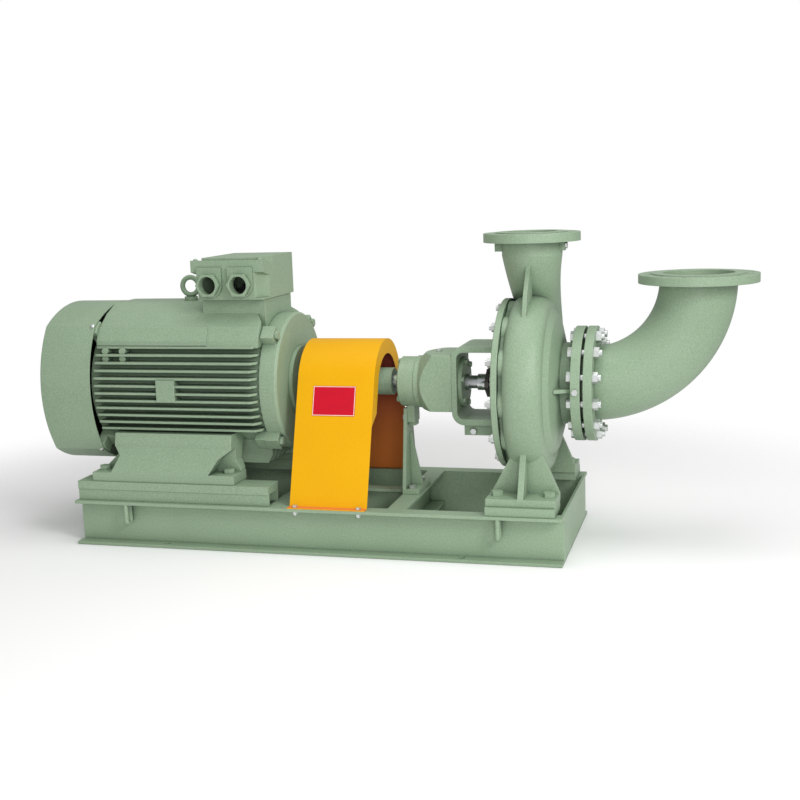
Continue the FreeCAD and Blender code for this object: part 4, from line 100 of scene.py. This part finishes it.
class Finish:
    """A material built from nodes round one Principled shader."""

    def __init__(self, name):
        self.material = bpy.data.materials.new(name)
        self.material.use_nodes = True
        self.tree = self.material.node_tree
        self.tree.nodes.clear()
        self.place = self.node("ShaderNodeTexCoord", out="Object")

    def node(self, kind, settings=None, inputs=None, out=0):
        made = self.tree.nodes.new(kind)
        for name, value in (settings or {}).items():
            setattr(made, name, value)
        for key, value in (inputs or {}).items():
            socket = made.inputs[key] if isinstance(key, int) else self.named(made.inputs, key)
            if isinstance(value, Number):
                self.tree.links.new(value.socket, socket)
            else:
                socket.default_value = value
        found = made.outputs[out] if isinstance(out, int) else self.named(made.outputs, out)
        return Number(self, found)

    def named(self, sockets, key):
        return next(s for s in sockets if s.identifier == key or (s.name == key and s.enabled))

    def noise(self, scale, detail=2.0, stretch=None):
        place = self.place if stretch is None else self.scaled(stretch)
        return self.node("ShaderNodeTexNoise", None,
                         {"Vector": place, "Scale": scale, "Detail": detail}, "Fac")

    def scaled(self, factors):
        return self.node("ShaderNodeVectorMath", {"operation": "MULTIPLY"},
                         {0: self.place, 1: factors}, "Vector")

    def mix(self, factor, first, second):
        return self.node("ShaderNodeMix", {"data_type": "RGBA"},
                         {"Factor_Float": factor, "A_Color": first, "B_Color": second}, "Result_Color")

    def part_of(self, vector, axis):
        return self.node("ShaderNodeSeparateXYZ", None, {"Vector": vector}, axis)

    def rounded(self, radius):
        return self.node("ShaderNodeBevel", {"samples": 4}, {"Radius": radius}, "Normal")

    def edges(self, rounded_normal):
        """1 along a corner and 0 on the flat."""
        flat = self.node("ShaderNodeNewGeometry", out="Normal")
        same = self.node("ShaderNodeVectorMath", {"operation": "DOT_PRODUCT"},
                         {0: flat, 1: rounded_normal}, "Value")
        return (1 - same).above(0.01, 0.12)

    def crevices(self, distance, low=0.25, high=0.85):
        """1 in a corner or joint, also one between two pieces, and 0 in the open."""
        open_sky = self.node("ShaderNodeAmbientOcclusion", {"samples": 6}, {"Distance": distance}, "AO")
        return (1 - open_sky).above(low, high)

    def bump(self, height, strength, distance, normal=None):
        inputs = {"Height": height, "Strength": strength, "Distance": distance}
        if normal is not None:
            inputs["Normal"] = normal
        return self.node("ShaderNodeBump", None, inputs, "Normal")

    def shade(self, **inputs):
        shader = self.node("ShaderNodeBsdfPrincipled", None,
                           {name.replace("_", " "): value for name, value in inputs.items()}, "BSDF")
        self.node_end(shader)
        return self.material

    def node_end(self, shader):
        output = self.tree.nodes.new("ShaderNodeOutputMaterial")
        self.tree.links.new(shader.socket, output.inputs["Surface"])


# Colours as they are seen, from 0 to 255
SAGE = (143, 165, 138)
SAGE_DARKER = (130, 152, 125)
# dark flecks, and painted shade in corners
SAGE_DEEP = (84, 106, 84)
# pale flecks, and painted highlight along edges
SAGE_PALE = (186, 204, 180)
# dark joint lines, and painted shade in tight corners
JOINT_AND_SHADE_DARK = (34, 46, 36)
ORANGE = (228, 170, 8)
ORANGE_DEEPER = (222, 158, 8)
ORANGE_SPECK = (222, 146, 20)
# painted highlight along the guard's edges
ORANGE_EDGE = (250, 205, 80)
# dark joint lines and painted shade in tight corners of the guard
ORANGE_JOINT_SHADE = (120, 60, 10)
# painted shade inside the guard, low and high
GUARD_INSIDE_SHADE_LOW = (226, 128, 62)
GUARD_INSIDE_SHADE_HIGH = (150, 66, 56)
STEEL_GREY = (196, 198, 200)
STEEL_DARK = (150, 152, 156)
ZINC_WHITE = (222, 226, 226)
ZINC_DULL = (198, 200, 190)
# painted shade in crevices on zinc
ZINC_SHADE = (120, 124, 120)
# painted highlight along zinc edges
ZINC_EDGE = (240, 242, 242)

# Reaches, joints and pitches in metres
# how far off a wall can be and still give painted shade in a corner
CORNER_SHADE_REACH = 0.045
JOINT_AND_SHADE_REACH = 0.007
LID_FALL = 0.25
LID_JOINT_Z = 0.809
LID_JOINT_CORE = 0.0011
LID_JOINT_EDGE = 0.0019
SUPPORT_FOOT_END_X = 0.50
GUARD_MIDDLE_Z = 0.44
THREAD_PITCH = 0.0022
CORE_SHEET_PITCH = 0.004

# Where a crevice begins to darken as a joint line with painted shade, and where it does so in full
JOINT_AND_SHADE_LOW = 0.3
JOINT_AND_SHADE_FULL = 0.62


def painted_casting(name, grain=0.00035, pale=0.55, corner=0.003, deep=0.75, lid_joint=False):
    """Sage enamel over iron or steel: grain its relief, pale its painted edge highlight, deep its painted
    corner shade.
    """
    f = Finish(name)
    soft = f.rounded(corner)
    edge = f.edges(soft)
    corner_shade = f.crevices(CORNER_SHADE_REACH)
    joint = f.crevices(JOINT_AND_SHADE_REACH, JOINT_AND_SHADE_LOW, JOINT_AND_SHADE_FULL)
    broad = f.noise(5.0, 3.0)
    speck = f.noise(230.0, 2.0)
    colour = f.mix(broad.above(0.35, 0.7) * 0.4, linear(*SAGE), linear(*SAGE_DARKER))
    colour = f.mix(speck.above(0.48, 0.7) * 0.16, colour, linear(*SAGE_PALE))
    colour = f.mix((1 - speck).above(0.5, 0.7) * 0.16, colour, linear(*SAGE_DEEP))
    # painted shade: corners that hide the sky darken towards deep sage
    colour = f.mix(corner_shade * deep, colour, linear(*SAGE_DEEP))
    # painted highlight: edges lighten towards pale sage
    colour = f.mix(edge * pale, colour, linear(*SAGE_PALE))
    # dark joint lines between pieces, with painted shade in every tight corner
    colour = f.mix(joint * 0.7, colour, linear(*JOINT_AND_SHADE_DARK))
    if lid_joint:
        over = f.part_of(f.place, "Z") + f.part_of(f.place, "Y") * LID_FALL - LID_JOINT_Z
        line = 1 - over.sum("ABSOLUTE").above(LID_JOINT_CORE, LID_JOINT_EDGE)
        colour = f.mix(line * 0.85, colour, linear(*JOINT_AND_SHADE_DARK))
    rough = 0.36 + 0.16 * f.noise(18.0, 3.0) + 0.06 * speck
    peel = f.noise(420.0, 1.0)
    cast = f.noise(60.0, 3.0)
    normal = f.bump(peel + 1.5 * cast, 0.5, grain, soft)
    return f.shade(Base_Color=colour, Roughness=rough, Normal=normal, Specular_IOR_Level=0.4)


def guard_paint():
    """Orange enamel outside, with painted shade where it faces the coupling: red brown, darker towards the
    top.
    """
    f = Finish("guard_orange")
    soft = f.rounded(0.0012)
    edge = f.edges(soft)
    y = f.part_of(f.place, "Y")
    z = f.part_of(f.place, "Z")
    normal = f.node("ShaderNodeTexCoord", out="Normal")
    outward = f.part_of(normal, "Y") * y * 4.0 + f.part_of(normal, "Z") * (z - GUARD_MIDDLE_Z) * 4.0
    # painted shade inside the guard: faces turned towards the coupling, darker towards the top
    inside = 1 - outward.above(-0.25, -0.05)
    height = z.above(0.2, 0.5)
    inner = f.mix(height, linear(*GUARD_INSIDE_SHADE_LOW), linear(*GUARD_INSIDE_SHADE_HIGH))
    broad = f.noise(6.0, 2.0)
    speck = f.noise(170.0, 2.0)
    colour = f.mix(broad.above(0.3, 0.75) * 0.25, linear(*ORANGE), linear(*ORANGE_DEEPER))
    colour = f.mix(speck.above(0.48, 0.72) * 0.2, colour, linear(*ORANGE_SPECK))
    # painted highlight along edges
    colour = f.mix(edge * 0.4, colour, linear(*ORANGE_EDGE))
    # painted shade: inward faces take the red brown inside colour
    colour = f.mix(inside, colour, inner)
    # dark joint lines with painted shade in tight corners
    colour = f.mix(f.crevices(0.006, JOINT_AND_SHADE_LOW, JOINT_AND_SHADE_FULL) * 0.6, colour, linear(*ORANGE_JOINT_SHADE))
    rough = 0.42 + 0.12 * f.noise(22.0, 2.0)
    bumped = f.bump(f.noise(380.0, 1.0), 0.35, 0.0003, soft)
    return f.shade(Base_Color=colour, Roughness=rough, Normal=bumped, Specular_IOR_Level=0.15)


def turned_steel(name, colour=STEEL_GREY, pitch=0.0011, rough=0.28):
    """Steel with the fine rings that a lathe leaves round the shaft line."""
    f = Finish(name)
    x = f.part_of(f.place, "X")
    rings = (x * (2 * math.pi / pitch)).sum("SINE")
    fine = f.noise(90.0, 2.0, (14.0, 1.0, 1.0))
    tone = f.mix(fine.above(0.3, 0.7) * 0.5, linear(*colour), linear(*STEEL_DARK))
    soft = f.rounded(0.0008)
    return f.shade(Base_Color=tone, Metallic=1.0, Roughness=rough + 0.14 * fine,
                   Normal=f.bump(rings * 0.5 + fine, 0.3, 0.00008, soft))


def zinc(name, axis, painted_beyond=None):
    """Bright zinc on nuts, heads and threads that run along axis. Those beyond an x may be painted sage."""
    f = Finish(name)
    along = f.part_of(f.place, axis)
    thread = (along * (2 * math.pi / THREAD_PITCH)).sum("SINE")
    soft = f.rounded(0.0009)
    edge = f.edges(soft)
    blotch = f.noise(70.0, 3.0)
    tone = f.mix(blotch.above(0.35, 0.7) * 0.6, linear(*ZINC_WHITE), linear(*ZINC_DULL))
    # painted shade: crevices darken
    tone = f.mix(f.crevices(0.008) * 0.6, tone, linear(*ZINC_SHADE))
    # painted highlight along edges
    tone = f.mix(edge * 0.4, tone, linear(*ZINC_EDGE))
    metal = 0.85
    rough = 0.26 + 0.2 * blotch
    if painted_beyond is not None:
        painted = f.part_of(f.place, "X").above(painted_beyond - 0.001, painted_beyond + 0.001)
        # painted sage beyond the limit, with painted highlight along its edges
        tone = f.mix(painted, tone, f.mix(edge * 0.5, linear(*SAGE), linear(*SAGE_PALE)))
        metal = 0.85 * (1 - painted)
        rough = rough + 0.15 * painted
    return f.shade(Base_Color=tone, Metallic=metal, Roughness=rough,
                   Normal=f.bump(thread + blotch, 0.35, 0.0002, soft))


def raw_iron(name, colour, other, scale=110.0, metallic=0.7, rough=0.5):
    """Bare cast metal with a sandy skin."""
    f = Finish(name)
    grain = f.noise(scale, 4.0)
    tone = f.mix(grain.above(0.3, 0.7), linear(*colour), linear(*other))
    soft = f.rounded(0.0015)
    # painted shade: hollows darken towards near black
    tone = f.mix(f.crevices(0.02) * 0.5, tone, linear(40, 38, 36))
    return f.shade(Base_Color=tone, Metallic=metallic, Roughness=rough + 0.2 * grain,
                   Normal=f.bump(grain, 0.6, 0.0006, soft))


def stacked_sheet():
    """Thin core sheets stacked along the shaft line."""
    f = Finish("core_sheets")
    x = f.part_of(f.place, "X")
    sheets = (x * (2 * math.pi / CORE_SHEET_PITCH)).sum("SINE")
    tone = f.mix(sheets.above(-0.4, 0.6), linear(70, 72, 76), linear(128, 130, 134))
    return f.shade(Base_Color=tone, Metallic=0.6, Roughness=0.45 + 0.2 * f.noise(40.0, 2.0),
                   Normal=f.bump(sheets, 0.5, 0.0003))


def copper_windings():
    """Varnished copper wires bundled round the shaft line."""
    f = Finish("copper_windings")
    wires = f.node("ShaderNodeTexWave", {"wave_type": "RINGS", "rings_direction": "X"},
                   {"Vector": f.node("ShaderNodeVectorMath", {"operation": "SUBTRACT"},
                                     {0: f.place, 1: (0.0, 0.0, SHAFT_HEIGHT)}, "Vector"),
                    "Scale": 90.0, "Distortion": 3.0, "Detail": 1.0}, "Fac")
    tone = f.mix(wires, linear(92, 44, 22), linear(190, 104, 52))
    return f.shade(Base_Color=tone, Metallic=0.5, Roughness=0.3 + 0.15 * wires,
                   Normal=f.bump(wires, 0.7, 0.001), Coat_Weight=0.4)


def fibre_or_plastic(name, colour, other, scale, rough):
    """Dull sheet packing or moulded plastic."""
    f = Finish(name)
    grain = f.noise(scale, 3.0)
    tone = f.mix(grain.above(0.3, 0.7), linear(*colour), linear(*other))
    return f.shade(Base_Color=tone, Roughness=rough + 0.15 * grain,
                   Normal=f.bump(grain, 0.4, 0.0003, f.rounded(0.0008)))


def label_plate_finish():
    """Plain red enamel of the label plate."""
    f = Finish("red_plate")
    scuff = f.noise(50.0, 3.0)
    tone = f.mix(scuff.above(0.4, 0.8) * 0.3, linear(198, 12, 40), linear(176, 10, 34))
    return f.shade(Base_Color=tone, Roughness=0.4 + 0.15 * scuff, Normal=f.bump(scuff, 0.2, 0.0002),
                   Specular_IOR_Level=0.2)


def pale_line_finish():
    """Off-white print of the line round the label."""
    f = Finish("pale_line")
    scuff = f.noise(60.0, 3.0)
    tone = f.mix(scuff.above(0.4, 0.8) * 0.3, linear(244, 222, 212), linear(232, 196, 186))
    return f.shade(Base_Color=tone, Roughness=0.4 + 0.1 * scuff, Normal=f.bump(scuff, 0.2, 0.0002))


CASTING = painted_casting("sage_casting")
PLATE = painted_casting("sage_plate", grain=0.0002, pale=0.45, corner=0.0016, deep=0.6)
SHEET = painted_casting("sage_sheet", grain=0.00015, pale=0.5, corner=0.0012, deep=0.6)
BOX_SHEET = painted_casting("sage_box_sheet", grain=0.00015, pale=0.5, corner=0.0012, deep=0.6,
                            lid_joint=True)
GUARD = guard_paint()
STEEL = turned_steel("turned_steel")
BRIGHT_STEEL = turned_steel("bright_sleeve", (214, 216, 218), 0.0009, 0.2)
ZINC_X = zinc("zinc_along_x", "X")
ZINC_Z = zinc("zinc_along_z", "Z")
FOOT_BOLTS = zinc("zinc_then_painted", "Z", SUPPORT_FOOT_END_X)
IRON = raw_iron("bare_iron", (74, 72, 70), (104, 102, 98))
BRONZE = raw_iron("turned_bronze", (176, 132, 66), (150, 108, 52), 80.0, 0.9, 0.32)
CORE = stacked_sheet()
COPPER = copper_windings()
FIBRE = fibre_or_plastic("seal_fibre", (22, 22, 22), (34, 33, 32), 160.0, 0.6)
PLASTIC = fibre_or_plastic("moulded_black", (24, 24, 25), (34, 34, 36), 300.0, 0.42)
LABEL = label_plate_finish()
PALE_LINE = pale_line_finish()

WEARS = {
    PLATE: ["beam_front", "beam_rear", "end_plates", "cross_channel_motor_side",
            "cross_channel_pump_side", "centre_tie", "motor_rail_front", "motor_rail_rear", "pump_pads",
            "lifting_staples", "support_foot"],
    BOX_SHEET: ["terminal_box", "terminal_box_lid"],
    SHEET: ["fan_cowl", "cable_glands", "motor_foot_bolts", "shield_bolts",
            "drive_bearing_cap", "motor_half_coupling", "pump_half_coupling", "drive_bearing_cover",
            "pump_bearing_cover", "lifting_eye"],
    CASTING: ["motor_frame", "motor_foot_front", "motor_foot_rear", "drive_end_shield", "fan_end_shield",
              "volute_casing", "casing_cover", "bearing_bracket", "suction_elbow", "elbow_flanges"],
    GUARD: ["coupling_guard"],
    STEEL: ["motor_shaft", "pump_shaft", "motor_bearing_outer_rings", "motor_bearing_inner_rings",
            "pump_bearing_outer_rings", "pump_bearing_inner_rings", "coupling_pins"],
    BRIGHT_STEEL: ["shaft_sleeve"],
    ZINC_X: ["cover_studs", "bracket_studs", "gland_studs", "suction_flange_bolts", "pipe_plugs",
             "impeller_nut"],
    ZINC_Z: ["guard_bolts"],
    FOOT_BOLTS: ["pump_foot_bolts"],
    IRON: ["impeller", "stuffing_gland"],
    BRONZE: ["casing_wear_ring"],
    CORE: ["stator_core", "rotor_core"],
    COPPER: ["stator_windings"],
    FIBRE: ["casing_gasket", "suction_gasket"],
    PLASTIC: ["cooling_fan", "terminal_board"],
}


def wear(thing, finish):
    thing.data.materials.clear()
    thing.data.materials.append(finish)


for finish, names in WEARS.items():
    for name in names:
        wear(nodes[name], finish)


# Small pieces
def piece(name, bm, finish, body):
    """A finished piece whose place is in its mesh, riding on one body."""
    bmesh.ops.recalc_face_normals(bm, faces=bm.faces)
    mesh = bpy.data.meshes.new(name)
    bm.to_mesh(mesh)
    bm.free()
    thing = bpy.data.objects.new(name, mesh)
    bpy.context.scene.collection.objects.link(thing)
    wear(thing, finish)
    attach(thing, body)
    return thing


def facing(place, direction):
    """The turn and move that bring +Z onto direction at place."""
    return Matrix.Translation(place) @ Vector(direction).to_track_quat("Z", "Y").to_matrix().to_4x4()


SCREW_RIM_SHARE = 0.5
SCREW_STEPS = ((0.3, 0.35), (0.35, 0.15))


def add_domed_screw(bm, place, direction, radius, height):
    """Round screw head that narrows in two steps towards its top."""
    made = bmesh.ops.create_circle(bm, cap_ends=True, segments=20, radius=radius)
    rim = made["verts"]
    face = rim[0].link_faces[0]
    raised = bmesh.ops.extrude_face_region(bm, geom=[face])
    top = [v for v in raised["geom"] if isinstance(v, bmesh.types.BMVert)]
    bmesh.ops.translate(bm, verts=top, vec=(0, 0, height * SCREW_RIM_SHARE))
    top_face = next(g for g in raised["geom"] if isinstance(g, bmesh.types.BMFace))
    verts = set(rim + top)
    for step_in, step_up in SCREW_STEPS:
        step = bmesh.ops.inset_region(bm, faces=[top_face], thickness=radius * step_in,
                                      depth=height * step_up)
        verts.update(v for f in step["faces"] for v in f.verts)
    verts.update(top_face.verts)
    bmesh.ops.transform(bm, matrix=facing(place, direction), verts=list(verts))


COWL_SCREW_X = -0.706
COWL_CREASE = (0.200, 0.195)
COWL_SCREW_RADIUS = 0.007
COWL_SCREW_HEIGHT = 0.006
SCREW_SEAT = 0.0005
LID_SCREW_SIZE = 0.0075
LID_SCREWS_X = (-0.371, -0.162)
LID_FRONT = (-0.147, 0.86675)
LID_REAR = (0.087, 0.80825)
LID_SLOPE = (0, 0.2425, 0.970)


def cowl_screws():
    bm = bmesh.new()
    for y_side in (-1, 1):
        for z_side in (-1, 1):
            out = Vector((0, y_side * COWL_CREASE[0], z_side * COWL_CREASE[1]))
            place = Vector((COWL_SCREW_X, 0, SHAFT_HEIGHT)) + out - out.normalized() * SCREW_SEAT
            add_domed_screw(bm, place, out, COWL_SCREW_RADIUS, COWL_SCREW_HEIGHT)
    return piece("cowl_screws", bm, ZINC_X, "pump_set")


def lid_screws():
    bm = bmesh.new()
    for x in LID_SCREWS_X:
        for y, z in (LID_FRONT, LID_REAR):
            add_domed_screw(bm, Vector((x, y, z)), LID_SLOPE, LID_SCREW_SIZE, LID_SCREW_SIZE)
    return piece("lid_screws", bm, SHEET, "pump_set")


GUARD_FOOT = Vector((0, -0.270, 0.140))
GUARD_UP = Vector((0, 0.3234, 0.9463))
GUARD_OUT = Vector((0, -0.9463, 0.3234))
LABEL_X = 0.061
LABEL_UP = 0.3215
LABEL_SIZE = (0.134, 0.091)
LABEL_THICKNESS = 0.0008
LABEL_CORNER = 0.003
LABEL_LIFT = 0.0002
LINE_LIFT = 0.0003
LINE_THICKNESS = 0.0002
LINE_INSET = 0.0012
LINE_WIDTH = 0.0018


def add_slab(bm, place, width, height, thickness, corner):
    """Thin plate with rounded corners, its back in the plane that place sets."""
    made = bmesh.ops.create_grid(bm, x_segments=1, y_segments=1, size=0.5)
    verts = made["verts"]
    bmesh.ops.scale(bm, vec=(width, height, 1), verts=verts)
    face = verts[0].link_faces[0]
    raised = bmesh.ops.extrude_face_region(bm, geom=[face])
    top = [v for v in raised["geom"] if isinstance(v, bmesh.types.BMVert)]
    bmesh.ops.translate(bm, verts=top, vec=(0, 0, thickness))
    uprights = [e for v in verts for e in v.link_edges if e.other_vert(v) in top]
    rounded = bmesh.ops.bevel(bm, geom=uprights, offset=corner, segments=3, profile=0.5,
                              affect="EDGES", material=-1)
    every = set(verts) | set(top) | set(rounded["verts"])
    bmesh.ops.transform(bm, matrix=place, verts=[v for v in every if v.is_valid])


def label_place(lift):
    """The plane at lift over the guard's front side, centred on the label."""
    middle = GUARD_FOOT + Vector((LABEL_X, 0, 0)) + GUARD_UP * LABEL_UP
    return facing(middle + GUARD_OUT * lift, GUARD_OUT)


def label_plate():
    bm = bmesh.new()
    add_slab(bm, label_place(LABEL_LIFT), LABEL_SIZE[0], LABEL_SIZE[1], LABEL_THICKNESS, LABEL_CORNER)
    return piece("label_plate", bm, LABEL, "pump_set")


def label_line():
    """Pale line round the label, just inside its edge: a thin frame."""
    bm = bmesh.new()
    made = bmesh.ops.create_grid(bm, x_segments=1, y_segments=1, size=0.5)
    sides = (LABEL_SIZE[0] - 2 * LINE_INSET, LABEL_SIZE[1] - 2 * LINE_INSET, 1)
    bmesh.ops.scale(bm, vec=sides, verts=made["verts"])
    middle = bm.faces[:][0]
    bmesh.ops.inset_region(bm, faces=[middle], thickness=LINE_WIDTH, use_boundary=True, use_even_offset=True)
    bmesh.ops.delete(bm, geom=[middle], context="FACES_ONLY")
    raised = bmesh.ops.extrude_face_region(bm, geom=bm.faces[:])
    top = [v for v in raised["geom"] if isinstance(v, bmesh.types.BMVert)]
    bmesh.ops.translate(bm, verts=top, vec=(0, 0, LINE_THICKNESS))
    bm.transform(label_place(LINE_LIFT + LABEL_THICKNESS))
    return piece("label_line", bm, PALE_LINE, "pump_set")


# Floor, light and view
FLOOR_RADIUS = 6.0
FLOOR_DROP = 0.0005
FLOOR_FADE = (1.2, 2.3)
FLOOR_COLOUR = (0.96, 0.96, 0.96, 1.0)
WHITE = (1.0, 1.0, 1.0, 1.0)
SURROUND_LIGHT = 0.47

# Each lamp's place, the place it faces, its size in metres and its power in watts
LAMPS = {
    "key": ((3.3, -2.5, 2.4), (0.2, 0, 0.45), 1.6, 86),
    "front": ((1.5, -4.0, 1.2), (0.2, 0, 0.4), 1.4, 40),
    "top": ((0.4, -0.4, 3.6), (0.2, 0, 0.4), 2.6, 46),
}


def floor_finish():
    """Pale floor that fades into the white surroundings."""
    f = Finish("pale_floor")
    distance = f.node("ShaderNodeVectorMath", {"operation": "LENGTH"}, {0: f.place}, "Value")
    diffuse = f.node("ShaderNodeBsdfDiffuse", None, {"Color": FLOOR_COLOUR}, "BSDF")
    clear = f.node("ShaderNodeBsdfTransparent", None, {"Color": WHITE}, "BSDF")
    f.node_end(f.node("ShaderNodeMixShader", None, {0: distance.above(*FLOOR_FADE), 1: diffuse, 2: clear}))
    return f.material


def pale_floor():
    bm = bmesh.new()
    bmesh.ops.create_circle(bm, cap_ends=True, segments=64, radius=FLOOR_RADIUS)
    mesh = bpy.data.meshes.new("floor")
    bm.to_mesh(mesh)
    bm.free()
    floor = bpy.data.objects.new("floor", mesh)
    bpy.context.scene.collection.objects.link(floor)
    floor.location.z = -FLOOR_DROP
    wear(floor, floor_finish())


def lamp(name, place, target, size, watts):
    """Soft round lamp at place that faces target."""
    data = bpy.data.lights.new(name, "AREA")
    data.shape = "DISK"
    data.size = size
    data.energy = watts
    light = bpy.data.objects.new(name, data)
    bpy.context.scene.collection.objects.link(light)
    light.matrix_world = facing(Vector(place), Vector(place) - Vector(target))


def studio():
    """White surroundings to the eye, a dimmer plain light from them on the object, and the lamps."""
    world = bpy.data.worlds.new("studio")
    bpy.context.scene.world = world
    world.use_nodes = True
    tree = world.node_tree
    tree.nodes.clear()
    path = tree.nodes.new("ShaderNodeLightPath")
    seen = tree.nodes.new("ShaderNodeMath")
    seen.operation = "ADD"
    seen.use_clamp = True
    tree.links.new(path.outputs["Is Camera Ray"], seen.inputs[0])
    tree.links.new(path.outputs["Is Transmission Ray"], seen.inputs[1])
    strength = tree.nodes.new("ShaderNodeMapRange")
    tree.links.new(seen.outputs[0], strength.inputs["Value"])
    strength.inputs["To Min"].default_value = SURROUND_LIGHT
    strength.inputs["To Max"].default_value = 1.0
    background = tree.nodes.new("ShaderNodeBackground")
    background.inputs["Color"].default_value = WHITE
    tree.links.new(strength.outputs["Result"], background.inputs["Strength"])
    output = tree.nodes.new("ShaderNodeOutputWorld")
    tree.links.new(background.outputs[0], output.inputs["Surface"])
    for name, (place, target, size, watts) in LAMPS.items():
        lamp(name, place, target, size, watts)


bpy.context.scene.view_settings.view_transform = "Standard"

photo_camera()
studio()
pale_floor()
cowl_screws()
lid_screws()
label_plate()
label_line()
